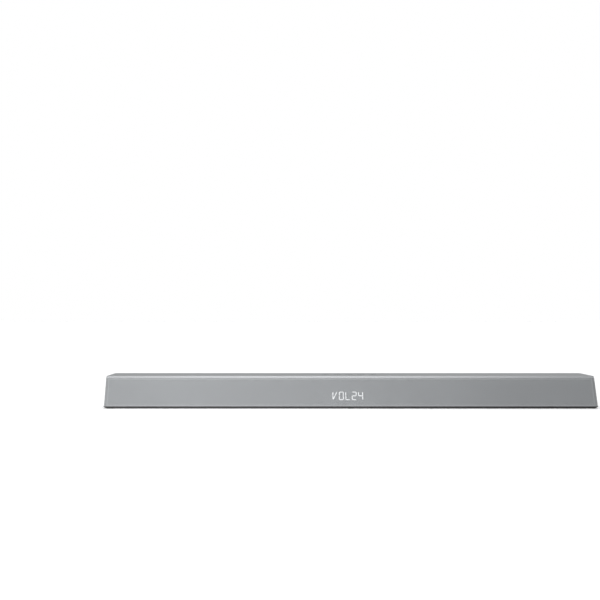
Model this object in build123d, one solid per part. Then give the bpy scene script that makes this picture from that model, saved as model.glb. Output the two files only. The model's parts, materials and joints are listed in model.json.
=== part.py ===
"""Low, long powered soundbar: a black tub, a silver top, two silver end caps, a leaning grille,
four oval woofers, two dome tweeters, a lit readout, five top keys and a recessed row of sockets.

The origin is on the floor, below the middle of the bar. +X runs along the bar, +Y to its back
and +Z up, so the leaning grille looks towards -Y. Every size is in millimetres.
"""
from build123d import *

import os
from math import atan2, cos, sin

# Outside
LENGTH = 980.0          # along X
DEPTH = 105.0           # along Y, at the foot of the grille
HEIGHT = 63.0           # floor to the top face
FACE_SETBACK = 20.0     # how far the grille leans back
TOP_BEVEL = 4.0         # sloping edge between the grille and the top face
BASE_TOP = 4.6          # where the black base ends and the silver body starts
BASE_BEVEL = 3.3        # sloping edge round the underside
BASE_PROUD = 0.8        # base past the end caps
FOOT_LIFT = 1.0         # rubber showing below the base

# Walls and fits
SHELL = 2.5             # moulded walls of the tub and the top cover
CAP_WALL = 4.0          # end caps
CAP_ROUND = 0.6         # outer edges of the end caps
BACK_ROUND = 0.8        # edge between the top and the back
GRILLE_SHEET = 1.0
SCRIM_SHEET = 0.4
LIP = 1.5               # rims behind the grille that it is glued to
LIP_LENGTH = 6.0
PANEL_GAP = 0.2         # between neighbouring covers
SLIP = 0.3              # round a piece that passes through or into another
SNUG = 0.05             # round a screw in its hole or a pin in its bush
BAFFLE_SHEET = 3.0
BAFFLE_SET_IN = 9.0     # from the outside of the grille to the front of the baffle
PARTITION_WALL = 2.0
BAY_LENGTH = 288.0      # electronics bay between the two partitions

# Woofers: oval, wide along the bar
WOOFER_PLACES = {"inner_left": -208.0, "outer_left": -330.0, "inner_right": 208.0, "outer_right": 330.0}
DRIVER_RISE = 32.0      # driver centres, measured up the leaning face
WOOFER_SPAN = 104.0
WOOFER_WIDTH = 52.0
FLANGE_RIM = 6.0        # flange that overhangs the baffle hole
FLANGE_SHEET = 1.5
GASKET_SHEET = 1.0
BASKET_WALL = 1.2
BASKET_DEPTH = 14.0
BASKET_FLOOR = 1.5
LEDGE_HEIGHT = 2.5      # ring that carries the spider
SPIDER_SHEET = 0.5
ROLL_WIDTH = 6.5        # half roll of the surround
SURROUND_RIM = 1.2      # flat rim of the surround on the flange
SURROUND_SHEET = 0.6
DISH_DEPTH = 8.0
DISH_SLOPE = 2.5
CONE_WALL = 0.7
MOTOR_RADIUS = 15.0
MOTOR_DEPTH = 15.5
POLE_RADIUS = 8.1
COIL_GAP = 1.8
COIL_WALL = 0.9
COIL_REACH = 7.0        # coil tube inside the motor at rest
COIL_SPARE = 1.0        # air under the coil at the end of its stroke
WOOFER_STROKE = 3.0

# Tweeters: round
TWEETER_PLACES = {"left": -432.0, "right": 432.0}
TWEETER_PLATE_RADIUS = 24.0
TWEETER_CUP_RADIUS = 19.0
TWEETER_CUP_DEPTH = 5.0
TWEETER_MOTOR_RADIUS = 17.0
TWEETER_MOTOR_DEPTH = 10.5
DOME_RADIUS = 12.4
DOME_RISE = 3.5
DOME_WALL = 0.4
DOME_GAP = 0.5          # air on each side of the tweeter's coil
DOME_SET_IN = 1.5
DOME_COIL_LENGTH = 7.5
DOME_PIT = 6.0

# Readout
READOUT_X = -5.7
READOUT_RISE = 21.4
READOUT_SPAN = 80.0
READOUT_WIDTH = 24.0
READOUT_BOARD_SPAN = 100.0
CHARACTER_PITCH = 12.8
CHARACTER_WIDTH = 9.6
CHARACTER_HEIGHT = 17.6
CHARACTER_RELIEF = 0.5
RECEIVER_SPAN = 6.0
RECEIVER_WIDTH = 7.0
RECEIVER_HEIGHT = 3.0

# Top keys
KEY_NAMES = ["power", "source", "volume_down", "volume_up", "pairing"]
KEY_PITCH = 24.0
KEY_Y = 4.0
KEY_SPAN = 14.0
KEY_WIDTH = 8.0
KEY_PROUD = 0.5
KEY_FLANGE = 1.2
KEY_RIM = 1.5
KEY_STROKE = 0.6
KEY_SPARE = 0.15        # air left under a fully pressed key
KEY_STEM = 1.0
SWITCH_SIDE = 6.0
SWITCH_HEIGHT = 3.8
KEY_BOARD_WIDTH = 16.0

# Boards
BOARD_SHEET = 1.6
BOARD_RISE = 16.0       # underside of the main and power boards
BOARD_FRONT = -24.0
BOARD_END_GAP = 4.0
BOARD_SPLIT = -8.0      # between the power board and the main board
BOARD_SPLIT_GAP = 6.0
BOARD_HOLE_INSET = 5.0
CHIP_SIDE = 16.0
CHIP_HEIGHT = 1.4
CHIP_Y = -4.0
PROCESSOR_X = 20.0
AMPLIFIER_X = 58.0
SINK_SPAN = 36.0
SINK_WIDTH = 20.0
SINK_PLATE = 3.0
FIN_COUNT = 7
FIN_SHEET = 1.5
FIN_HEIGHT = 12.0
RADIO_X = 102.0
RADIO_Y = -11.0
RADIO_SPAN = 24.0
RADIO_WIDTH = 14.0
RADIO_SHEET = 1.0
CAN_SPAN = 14.0
CAN_WIDTH = 10.0
CAN_HEIGHT = 2.0
AC_PLUG_SPAN = 16.0
AC_PLUG_WIDTH = 8.0
AC_PLUG_HEIGHT = 2.0
AC_PLUG_Y = 6.0
OUTPUT_PLUG_X = -21.0
OUTPUT_PLUG_SPAN = 10.0
OUTPUT_PLUG_WIDTH = 16.0
TRANSFORMER_X = -50.0
TRANSFORMER_Y = -4.0
CORE_SPAN = 28.0
CORE_WIDTH = 24.0
CORE_HEIGHT = 22.0
WINDING_INSET = 4.0     # below and inside the ends of the core
WINDING_PROUD = 2.0     # past the front and back of the core
WINDING_ROUND = 1.0
CAPACITOR_PLACES = [-112.0, -92.0]
CAPACITOR_Y = -12.0
CAPACITOR_HEIGHT = 25.0
CAPACITOR_RADIUS = 7.0
CAPACITOR_ROUND = 0.8

# Recess for the sockets, in the back
RECESS_LEFT = -128.0
RECESS_RIGHT = 138.0
RECESS_FLOOR = 9.0
RECESS_ROOF = 42.0
RECESS_DEPTH = 16.0
RECESS_WALL = 2.0
SOCKET_REACH = 13.0     # socket bodies on the board
SOCKET_PROUD = 0.5      # past the inner wall of the recess
SOCKETS = {"hdmi_in": (20.0, 15.0, 6.0), "hdmi_out": (46.0, 15.0, 6.0), "optical": (72.0, 12.0, 12.0),
           "aux": (96.0, 12.0, 10.0), "usb": (120.0, 14.5, 7.2), "ac": (-100.0, 24.0, 14.0)}
AUX_BORE_RADIUS = 1.8
AUX_BORE_DEPTH = 14.0
AUX_COLLAR_RADIUS = 4.0
FLAT_MOUTH_DEPTH = 9.0
TONGUE_SET_IN = 1.5
HDMI_MOUTH = (0.6, 1.4, 10.4, 1.0)      # shell, cut lower corners, tongue width and thickness
USB_MOUTH = (1.0, 0.3, 11.0, 1.9)
OPTICAL_MOUTH = 9.2
OPTICAL_DEPTH = 11.0
OPTICAL_WALL = 1.0      # above and below the mouth
SHUTTER_SET_IN = 0.9    # hinge behind the mouth
SHUTTER_DROP = 1.7      # hinge below the top of the socket
SHUTTER_PIN_LENGTH = 10.0
SHUTTER_SHEET = 0.9
SHUTTER_PIN = 0.4
INLET_PIN_PITCH = 8.6
INLET_PIN_RADIUS = 1.2
INLET_PIN_SET_IN = 2.0
INLET_MOUTH_SPAN = 16.4
INLET_MOUTH_WIDTH = 8.6
INLET_DEPTH = 12.0

# Fasteners
SCREW_RADIUS = 1.5
SCREW_HEAD_RADIUS = 2.7
SCREW_HEAD = 1.6
SMALL_SCREW_LENGTH = 8.0
LONG_SCREW_LENGTH = 16.0
BOSS_RADIUS = 3.4
COVER_BOSS_PLACES = [-466.0, -392.0, -262.0, -158.0, 158.0, 262.0, 392.0, 466.0]
COVER_BOSS_Y = 42.0
PEDESTAL_HEIGHT = 5.0
PEDESTAL_RADIUS = 5.0
BAFFLE_SCREW_PLACES = [-390.0, -269.0, -145.0, 145.0, 269.0, 390.0]
BAFFLE_SCREW_RISE = 6.0
BAFFLE_BOSS_LENGTH = 12.0
WALL_MOUNT_SPAN = 600.0
WALL_MOUNT_RISE = 36.0
INSERT_RADIUS = 3.3
INSERT_BORE_RADIUS = 2.1
INSERT_LENGTH = 10.5
INSERT_BOSS_RADIUS = 5.5
CAP_PIN_RADIUS = 2.0
CAP_PIN_LENGTH = 4.0
CAP_PIN_PLACES = [(-8.0, 20.0), (-8.0, 48.0), (40.0, 20.0), (40.0, 48.0)]

# Feet and wiring
FOOT_SPAN = 12.0
FOOT_DEPTH = 30.0
FOOT_SUNK = 0.8
FOOT_INSET = 2.0
HARNESS_RADIUS = 1.6
BRANCH_RADIUS = 1.0
HARNESS_Y = 6.0
HARNESS_RISE = 8.0
LOOM_BEND = 6.0
LOOM_ARC = 4.8          # inner corners of the loom
LOOM_SOCKET_X = 14.0
LOOM_SOCKET_INSET = 2.0
LOOM_SOCKET_HEIGHT = 6.0
LOOM_SOCKET_SPAN = 10.0
LOOM_SOCKET_WIDTH = 7.0
TERMINAL_TAB = 5.0
WOOFER_TERMINAL_X = 30.0
CABLE_HOLE = 8.0
RIBBON_WIDTH = 16.0
RIBBON_SHEET = 0.4
RIBBON_SLOT = 5.0       # height of its hole in the baffle
RIBBON_REACH = 4.0      # behind the baffle before it turns up
RIBBON_CREST = 12.0     # above the main board
RIBBON_CLEAR = 1.0      # in front of the main board
RIBBON_LANDING = 8.0    # behind the front edge of the main board
RIBBON_ARC = 2.5
LEAD_RADIUS = 0.9
LEAD_ARC = 3.0

# Worked out from the sizes above
LEAN = atan2(FACE_SETBACK, HEIGHT - TOP_BEVEL - BASE_TOP)
FACE_RUN = (HEIGHT - TOP_BEVEL - BASE_TOP) / cos(LEAN)
FRONT = -DEPTH / 2
BACK = DEPTH / 2
INNER_BACK = BACK - SHELL
FLOOR = FOOT_LIFT + SHELL
ROOF = HEIGHT - SHELL
CAP_END = LENGTH / 2 - BASE_PROUD
COVER_END = CAP_END - CAP_WALL
INNER_END = COVER_END - SHELL
BAFFLE_BACK = -BAFFLE_SET_IN - BAFFLE_SHEET
BOARD_TOP = BOARD_RISE + BOARD_SHEET
RECESS_INNER = BACK - RECESS_DEPTH
SOCKET_MOUTH = RECESS_INNER + SOCKET_PROUD
BOARD_BACK = RECESS_INNER - RECESS_WALL - PANEL_GAP
SOCKET_BACK = BOARD_BACK - SOCKET_REACH
BASKET_SPAN = WOOFER_SPAN - 2 * FLANGE_RIM
BASKET_WIDTH = WOOFER_WIDTH - 2 * FLANGE_RIM
BASKET_INSIDE_SPAN = BASKET_SPAN - 2 * BASKET_WALL
BASKET_INSIDE_WIDTH = BASKET_WIDTH - 2 * BASKET_WALL
FLANGE_FRONT = GASKET_SHEET + FLANGE_SHEET
CONE_SPAN = BASKET_INSIDE_SPAN - 2 * ROLL_WIDTH
CONE_WIDTH = BASKET_INSIDE_WIDTH - 2 * ROLL_WIDTH
COIL_RADIUS = POLE_RADIUS + COIL_GAP / 2 + COIL_WALL / 2
BASKET_BOTTOM = GASKET_SHEET - BASKET_DEPTH
COIL_PIT = COIL_REACH + WOOFER_STROKE + COIL_SPARE
WOOFER_TERMINAL = BASKET_BOTTOM - BASKET_FLOOR - TERMINAL_TAB - BAFFLE_SET_IN
TWEETER_BACK = GASKET_SHEET - TWEETER_CUP_DEPTH - BASKET_FLOOR - TWEETER_MOTOR_DEPTH
TWEETER_TERMINAL = TWEETER_BACK - BASKET_FLOOR - BAFFLE_SET_IN
SWITCH_TOP = ROOF - KEY_FLANGE - KEY_STEM - KEY_STROKE - KEY_SPARE


def on_face(rise, out):
    """(y, z) of the point that lies rise up the leaning face and out in front of it."""
    return (FRONT + rise * sin(LEAN) - out * cos(LEAN), BASE_TOP + rise * cos(LEAN) + out * sin(LEAN))


def at_level(z, out):
    """(y, z) of the point at height z on the plane that lies out in front of the leaning face."""
    return on_face((z - BASE_TOP - out * sin(LEAN)) / cos(LEAN), out)


def face_plane(x, rise, out=0.0):
    """Plane parallel to the grille, with its X along the bar and its Z pointing out."""
    y, z = on_face(rise, out)
    return Plane(origin=(x, y, z), x_dir=(1, 0, 0), z_dir=(0, -cos(LEAN), sin(LEAN)))


def along_x(points, x_low, x_high):
    """Solid whose (y, z) outline runs from x_low to x_high."""
    return extrude(Plane.YZ.offset(x_low) * Polygon(*points, align=None), x_high - x_low, dir=(1, 0, 0))


def block(x_low, x_high, y_low, y_high, z_low, z_high):
    """Box between two corners."""
    size = (x_high - x_low, y_high - y_low, z_high - z_low)
    return Pos((x_low + x_high) / 2, (y_low + y_high) / 2, (z_low + z_high) / 2) * Box(*size)


def post(x, y, z_low, z_high, radius):
    """Upright cylinder."""
    return extrude(Plane.XY.offset(z_low) * Pos(x, y) * Circle(radius), z_high - z_low)


def rod_back(x, z, y_low, y_high, radius):
    """Cylinder along Y."""
    return Pos(x, (y_low + y_high) / 2, z) * Rot(90, 0, 0) * Cylinder(radius, y_high - y_low)


def oval(span, width, low, high):
    """Oval plate, lying in its own XY plane between two heights."""
    return extrude(Plane.XY.offset(low) * SlotOverall(span, width), high - low)


def disc(radius, low, high):
    """Round plate, lying in its own XY plane between two heights."""
    return extrude(Plane.XY.offset(low) * Circle(radius), high - low)


def tube(points, bends, radius):
    """Round wire through points, with an arc of the given radius at each corner."""
    path = FilletPolyline(*points, radius=bends)
    return sweep(Plane(origin=path @ 0, z_dir=path % 0) * Circle(radius), path=path)


def screw(length):
    """Pan head screw that points down its own -Z, with the head's underside at 0."""
    head = fillet(disc(SCREW_HEAD_RADIUS, 0, SCREW_HEAD).edges().group_by(Axis.Z)[-1], SCREW_HEAD / 3)
    slot = Box(SCREW_HEAD_RADIUS, SCREW_RADIUS / 3, SCREW_HEAD)
    return head + disc(SCREW_RADIUS, -length, 0) - Pos(0, 0, SCREW_HEAD) * slot


def driver_screw_spots():
    """(x, rise, height above the baffle) of each screw that holds a woofer or a tweeter."""
    spots = []
    for x in WOOFER_PLACES.values():
        for side_x in (-1, 1):
            for side_y in (-1, 1):
                run = side_x * (WOOFER_SPAN - WOOFER_WIDTH) / 2
                reach = (WOOFER_WIDTH - FLANGE_RIM) / 2
                spots.append((x + run, DRIVER_RISE + side_y * reach, FLANGE_FRONT))
    for x in TWEETER_PLACES.values():
        for side_x in (-1, 1):
            reach = (TWEETER_PLATE_RADIUS + TWEETER_CUP_RADIUS) / 2
            spots.append((x + side_x * reach, DRIVER_RISE, FLANGE_FRONT))
    return spots


def driver_screw_holes(radius):
    """Straight holes through the flange, gasket and baffle at every driver screw."""
    holes = Part()
    for x, rise, _ in driver_screw_spots():
        holes += face_plane(x, rise, -BAFFLE_SET_IN) * disc(radius, -2 * BAFFLE_SHEET, 2 * BAFFLE_SHEET)
    return holes


def board_screw_spots():
    """(x, y) of the screws of the power board and of the main board."""
    spots = []
    for low, high in (power_board_ends(), main_board_ends()):
        for x in (low + BOARD_HOLE_INSET, high - BOARD_HOLE_INSET):
            spots.append((x, BOARD_FRONT + BOARD_HOLE_INSET))
            spots.append((x, SOCKET_BACK - BOARD_HOLE_INSET))
    return spots


def power_board_ends():
    """Low and high X of the power board."""
    return -BAY_LENGTH / 2 + BOARD_END_GAP, BOARD_SPLIT - BOARD_SPLIT_GAP / 2


def main_board_ends():
    """Low and high X of the main board."""
    return BOARD_SPLIT + BOARD_SPLIT_GAP / 2, BAY_LENGTH / 2 - BOARD_END_GAP


# Covers

def front_grille():
    """Leaning metal sheet between the end caps. It stands on the black base."""
    end = COVER_END - PANEL_GAP
    top = FACE_RUN - PANEL_GAP
    outline = [on_face(0, 0), on_face(top, 0), on_face(top, -GRILLE_SHEET), at_level(BASE_TOP, -GRILLE_SHEET)]
    return along_x(outline, -end, end)


def grille_scrim():
    """Black cloth behind the grille, with a window for the readout."""
    end = INNER_END - LIP
    low = LIP_LENGTH + PANEL_GAP
    high = FACE_RUN - LIP_LENGTH - PANEL_GAP
    front = -GRILLE_SHEET
    back = front - SCRIM_SHEET
    outline = [on_face(low, front), on_face(high, front), on_face(high, back), on_face(low, back)]
    window = Box(READOUT_SPAN + 2 * SLIP, READOUT_WIDTH + 2 * SLIP, 4 * GRILLE_SHEET)
    return along_x(outline, -end, end) - face_plane(READOUT_X, READOUT_RISE, front) * window


def back_edge(piece):
    """Edge of a cover where its top meets its back."""
    return piece.edges().filter_by(Axis.X).sort_by(lambda edge: edge.center().Y + edge.center().Z)[-1]


def top_cover():
    """Silver top with the sloping front edge, the rim for the grille, key slots and screw bosses."""
    rim_low = FACE_RUN - LIP_LENGTH
    front = -GRILLE_SHEET
    outline = [on_face(FACE_RUN, 0), (FRONT + FACE_SETBACK + TOP_BEVEL, HEIGHT), (BACK, HEIGHT), (BACK, ROOF),
               at_level(ROOF, front - LIP), on_face(rim_low, front - LIP), on_face(rim_low, front),
               on_face(FACE_RUN, front)]
    cover = along_x(outline, -COVER_END, COVER_END)
    cover = fillet(back_edge(cover), BACK_ROUND)
    seat = FLOOR + PEDESTAL_HEIGHT
    for x in COVER_BOSS_PLACES:
        cover += post(x, COVER_BOSS_Y, seat, ROOF, BOSS_RADIUS)
        cover -= post(x, COVER_BOSS_Y, FLOOR, seat + LONG_SCREW_LENGTH, SCREW_RADIUS + SNUG)
    for x in key_board_posts():
        cover += post(x, KEY_Y, SWITCH_TOP - SWITCH_HEIGHT, ROOF, BOSS_RADIUS)
        cover -= post(x, KEY_Y, SWITCH_TOP - SWITCH_HEIGHT - BOARD_SHEET, ROOF, SCREW_RADIUS + SNUG)
    for x in key_places():
        slot = oval(KEY_SPAN + 2 * SLIP, KEY_WIDTH + 2 * SLIP, ROOF - SHELL, HEIGHT + SHELL)
        cover -= Pos(x, KEY_Y) * slot
    return cover


def end_cap(side):
    """Silver end plate with four pins that press into the end wall of the tub."""
    outline = [on_face(0, 0), on_face(FACE_RUN, 0), (FRONT + FACE_SETBACK + TOP_BEVEL, HEIGHT),
               (BACK, HEIGHT), (BACK, BASE_TOP)]
    low, high = sorted((side * COVER_END, side * CAP_END))
    cap = along_x(outline, low, high)
    cap = fillet(back_edge(cap), BACK_ROUND)
    outer_face = cap.faces().sort_by(lambda face: side * face.center().X)[-1]
    cap = fillet(outer_face.edges(), CAP_ROUND)
    for y, z in CAP_PIN_PLACES:
        middle = side * (COVER_END - CAP_PIN_LENGTH / 2)
        cap += Pos(middle, y, z) * Rot(0, 90, 0) * Cylinder(CAP_PIN_RADIUS, CAP_PIN_LENGTH)
    return cap


def front_baffle():
    """Leaning board that carries the drivers and the readout."""
    end = INNER_END - PANEL_GAP
    front = -BAFFLE_SET_IN
    outline = [at_level(FLOOR, front), at_level(ROOF, front), at_level(ROOF, BAFFLE_BACK),
               at_level(FLOOR, BAFFLE_BACK)]
    baffle = along_x(outline, -end, end)
    through = 2 * BAFFLE_SHEET
    for x in WOOFER_PLACES.values():
        hole = oval(BASKET_SPAN + 2 * SLIP, BASKET_WIDTH + 2 * SLIP, -through, through)
        baffle -= face_plane(x, DRIVER_RISE, front) * hole
    for x in TWEETER_PLACES.values():
        baffle -= face_plane(x, DRIVER_RISE, front) * disc(TWEETER_CUP_RADIUS + SLIP, -through, through)
    baffle -= driver_screw_holes(SCREW_RADIUS + SNUG)
    baffle -= face_plane(ribbon_x(), READOUT_RISE, front) * Box(RIBBON_WIDTH + 4 * SLIP, RIBBON_SLOT, through)
    for x in BAFFLE_SCREW_PLACES:
        baffle -= face_plane(x, BAFFLE_SCREW_RISE, front) * disc(SCREW_RADIUS + SNUG, -through, through)
    return baffle


def tub_walls():
    """Rear wall, end walls and the two partitions that close off the electronics bay."""
    walls = block(-COVER_END, COVER_END, INNER_BACK, BACK, FLOOR, ROOF)
    wall_front = -GRILLE_SHEET - LIP
    end_wall = [at_level(FLOOR, wall_front), at_level(ROOF, wall_front), (BACK, ROOF), (BACK, FLOOR)]
    walls += along_x(end_wall, -COVER_END, -INNER_END)
    walls += along_x(end_wall, INNER_END, COVER_END)
    partition = [at_level(FLOOR, BAFFLE_BACK), at_level(ROOF, BAFFLE_BACK), (BACK, ROOF), (BACK, FLOOR)]
    cable_hole = block(-LENGTH, LENGTH, HARNESS_Y - CABLE_HOLE / 2, HARNESS_Y + CABLE_HOLE / 2,
                       FLOOR, FLOOR + CABLE_HOLE)
    for side in (-1, 1):
        low, high = sorted((side * BAY_LENGTH / 2, side * (BAY_LENGTH / 2 + PARTITION_WALL)))
        walls += along_x(partition, low, high) - cable_hole
    return walls


def tub_bosses():
    """Pedestals, posts and bosses that the screws and the wall inserts go into."""
    bosses = Part()
    for x in COVER_BOSS_PLACES:
        bosses += post(x, COVER_BOSS_Y, FOOT_LIFT, FLOOR + PEDESTAL_HEIGHT, PEDESTAL_RADIUS)
    for x, y in board_screw_spots():
        bosses += post(x, y, FLOOR, BOARD_RISE, BOSS_RADIUS)
    for x in (-WALL_MOUNT_SPAN / 2, WALL_MOUNT_SPAN / 2):
        bosses += rod_back(x, WALL_MOUNT_RISE, BACK - INSERT_LENGTH - SHELL, BACK, INSERT_BOSS_RADIUS)
    for x in BAFFLE_SCREW_PLACES:
        plane = face_plane(x, BAFFLE_SCREW_RISE, BAFFLE_BACK)
        bosses += plane * disc(BOSS_RADIUS, -BAFFLE_BOSS_LENGTH, 0)
    return bosses


def tub_holes():
    """Everything cut out of the tub: screw holes, insert holes, cap pins, sockets, foot pockets."""
    holes = block(RECESS_LEFT, RECESS_RIGHT, INNER_BACK - SHELL, BACK + SHELL, RECESS_FLOOR, RECESS_ROOF)
    for x in COVER_BOSS_PLACES:
        holes += post(x, COVER_BOSS_Y, 0, FLOOR + PEDESTAL_HEIGHT, SCREW_RADIUS + SNUG)
        holes += post(x, COVER_BOSS_Y, 0, FLOOR + PEDESTAL_HEIGHT / 2, SCREW_HEAD_RADIUS + SLIP)
    for x, y in board_screw_spots():
        holes += post(x, y, BOARD_TOP - SMALL_SCREW_LENGTH, BOARD_TOP, SCREW_RADIUS + SNUG)
    for x in (-WALL_MOUNT_SPAN / 2, WALL_MOUNT_SPAN / 2):
        holes += rod_back(x, WALL_MOUNT_RISE, BACK - INSERT_LENGTH, BACK, INSERT_RADIUS + SNUG)
    for x in BAFFLE_SCREW_PLACES:
        plane = face_plane(x, BAFFLE_SCREW_RISE, BAFFLE_BACK)
        holes += plane * disc(SCREW_RADIUS + SNUG, BAFFLE_SHEET - SMALL_SCREW_LENGTH, 0)
    for y, z in CAP_PIN_PLACES:
        holes += Pos(0, y, z) * Rot(0, 90, 0) * Cylinder(CAP_PIN_RADIUS + SNUG, LENGTH)
    for place in foot_places():
        holes += Pos(*place, FOOT_LIFT + FOOT_SUNK / 2) * Box(FOOT_SPAN, FOOT_DEPTH, FOOT_SUNK)
    return holes


def lower_housing():
    """Black tub: bevelled base, floor, rear and end walls, partitions and bosses."""
    base = block(-LENGTH / 2, LENGTH / 2, FRONT, BACK, FOOT_LIFT, BASE_TOP)
    base = chamfer(base.faces().sort_by(Axis.Z)[0].edges(), BASE_BEVEL)
    base -= block(-INNER_END, INNER_END, FRONT + BASE_BEVEL + SHELL / 2, INNER_BACK, FLOOR, HEIGHT)
    front = -GRILLE_SHEET
    rim = [on_face(0, front), on_face(LIP_LENGTH, front), on_face(LIP_LENGTH, front - LIP),
           on_face(0, front - LIP)]
    base += along_x(rim, -COVER_END, COVER_END)
    inside = [at_level(FLOOR, BAFFLE_BACK), at_level(ROOF, BAFFLE_BACK), (BACK, ROOF), (BACK, FOOT_LIFT),
              (on_face(0, BAFFLE_BACK)[0], FOOT_LIFT)]
    bosses = tub_bosses() & along_x(inside, -COVER_END, COVER_END)
    return base + tub_walls() + bosses - tub_holes()


def foot_places():
    """(x, y) of the six feet: four at the corners and two in the middle."""
    x = LENGTH / 2 - BASE_BEVEL - FOOT_INSET - FOOT_SPAN / 2
    y = DEPTH / 2 - BASE_BEVEL - FOOT_INSET - FOOT_DEPTH / 2
    return [(place_x, place_y) for place_x in (-x, 0, x) for place_y in (-y, y)]


def rubber_feet():
    """Six pads, sunk into the base."""
    pad = Box(FOOT_SPAN, FOOT_DEPTH, FOOT_LIFT + FOOT_SUNK)
    pad = chamfer(pad.edges().group_by(Axis.Z)[0], FOOT_LIFT / 4)
    return [Pos(*place, (FOOT_LIFT + FOOT_SUNK) / 2) * pad for place in foot_places()]


# Woofers

def woofer_basket(x):
    """Oval pan with a flange in front, a ring for the spider and open windows in its floor."""
    pan = oval(WOOFER_SPAN, WOOFER_WIDTH, GASKET_SHEET, FLANGE_FRONT)
    pan += oval(BASKET_SPAN, BASKET_WIDTH, BASKET_BOTTOM - BASKET_FLOOR, GASKET_SHEET)
    pan -= oval(BASKET_INSIDE_SPAN, BASKET_INSIDE_WIDTH, BASKET_BOTTOM, FLANGE_FRONT)
    ledge_radius = BASKET_INSIDE_WIDTH / 2
    ring = disc(ledge_radius, BASKET_BOTTOM, BASKET_BOTTOM + LEDGE_HEIGHT)
    pan += ring - disc(ledge_radius - LEDGE_HEIGHT, BASKET_BOTTOM, BASKET_BOTTOM + LEDGE_HEIGHT)
    pan -= disc(POLE_RADIUS + COIL_GAP, BASKET_BOTTOM - BASKET_FLOOR, BASKET_BOTTOM)
    underside = BASKET_BOTTOM - BASKET_FLOOR
    tab = Box(TERMINAL_TAB, TERMINAL_TAB, TERMINAL_TAB)
    pan += Pos(WOOFER_TERMINAL_X, 0, underside - TERMINAL_TAB / 2) * tab
    window = oval(BASKET_INSIDE_WIDTH / 2, BASKET_INSIDE_WIDTH / 4, underside, BASKET_BOTTOM)
    window_x = (BASKET_INSIDE_SPAN / 2 + ledge_radius) / 2
    window_y = BASKET_INSIDE_WIDTH / 5
    for side_x in (-1, 1):
        for side_y in (-1, 1):
            pan -= Pos(side_x * window_x, side_y * window_y) * window
    return face_plane(x, DRIVER_RISE, -BAFFLE_SET_IN) * pan - driver_screw_holes(SCREW_RADIUS + SNUG)


def woofer_magnet(x):
    """Motor: steel cup and pole with the ring gap that the coil moves in."""
    front = BASKET_BOTTOM - BASKET_FLOOR
    motor = disc(MOTOR_RADIUS, front - MOTOR_DEPTH, front)
    motor = chamfer(motor.edges().group_by(Axis.Z)[0], BASKET_WALL)
    gap = disc(POLE_RADIUS + COIL_GAP, front - COIL_PIT, front) - disc(POLE_RADIUS, front - COIL_PIT, front)
    return face_plane(x, DRIVER_RISE, -BAFFLE_SET_IN) * (motor - gap)


def dish(span, width, low, high):
    """Oval bowl that widens by DISH_SLOPE on every side from its floor to its rim."""
    floor = Plane.XY.offset(low) * SlotOverall(span - 2 * DISH_SLOPE, width - 2 * DISH_SLOPE)
    rim = Plane.XY.offset(high) * SlotOverall(span, width)
    return loft([floor, rim])


def woofer_cone(x):
    """Oval dish on its coil tube."""
    low = FLANGE_FRONT - DISH_DEPTH
    cone = dish(CONE_SPAN, CONE_WIDTH, low, FLANGE_FRONT)
    cone -= dish(CONE_SPAN - 2 * CONE_WALL, CONE_WIDTH - 2 * CONE_WALL, low + CONE_WALL, FLANGE_FRONT)
    coil_end = BASKET_BOTTOM - BASKET_FLOOR - COIL_REACH
    cone += disc(COIL_RADIUS, coil_end, low)
    cone -= disc(COIL_RADIUS - COIL_WALL, coil_end, low)
    return face_plane(x, DRIVER_RISE, -BAFFLE_SET_IN) * cone


def oval_ring(span, width, outwards, inwards):
    """Flat rubber ring on the front of the flange, reaching out and in from an oval line."""
    top = FLANGE_FRONT + SURROUND_SHEET
    ring = oval(span + 2 * outwards, width + 2 * outwards, FLANGE_FRONT, top)
    return ring - oval(span - 2 * inwards, width - 2 * inwards, FLANGE_FRONT, top)


def woofer_suspension(x):
    """Rubber surround with its half roll in front, and the spider ring behind."""
    rim = oval_ring(BASKET_INSIDE_SPAN, BASKET_INSIDE_WIDTH, SURROUND_RIM, SLIP)
    inner = oval_ring(CONE_SPAN, CONE_WIDTH, SLIP, SURROUND_RIM)
    crest = SlotOverall(CONE_SPAN + ROLL_WIDTH, CONE_WIDTH + ROLL_WIDTH)
    path = (Plane.XY.offset(FLANGE_FRONT) * crest).wire()
    roll_radius = ROLL_WIDTH / 2
    arch = Circle(roll_radius) - Circle(roll_radius - SURROUND_SHEET)
    arch &= Pos(0, roll_radius) * Rectangle(2 * roll_radius, 2 * roll_radius)
    start = path @ 0
    across = Plane(origin=start, x_dir=(path % 0).cross(Vector(0, 0, 1)), z_dir=path % 0)
    if across.y_dir.Z < 0:
        across = Plane(origin=start, x_dir=-across.x_dir, z_dir=path % 0)
    roll = sweep(across * arch, path=path)
    spider_low = BASKET_BOTTOM + LEDGE_HEIGHT
    spider_radius = BASKET_INSIDE_WIDTH / 2 - SLIP
    spider = disc(spider_radius, spider_low, spider_low + SPIDER_SHEET)
    spider -= disc(COIL_RADIUS + SNUG, spider_low, spider_low + SPIDER_SHEET)
    plane = face_plane(x, DRIVER_RISE, -BAFFLE_SET_IN)
    return [plane * (rim + roll + inner), plane * spider]


# Tweeters

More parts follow.
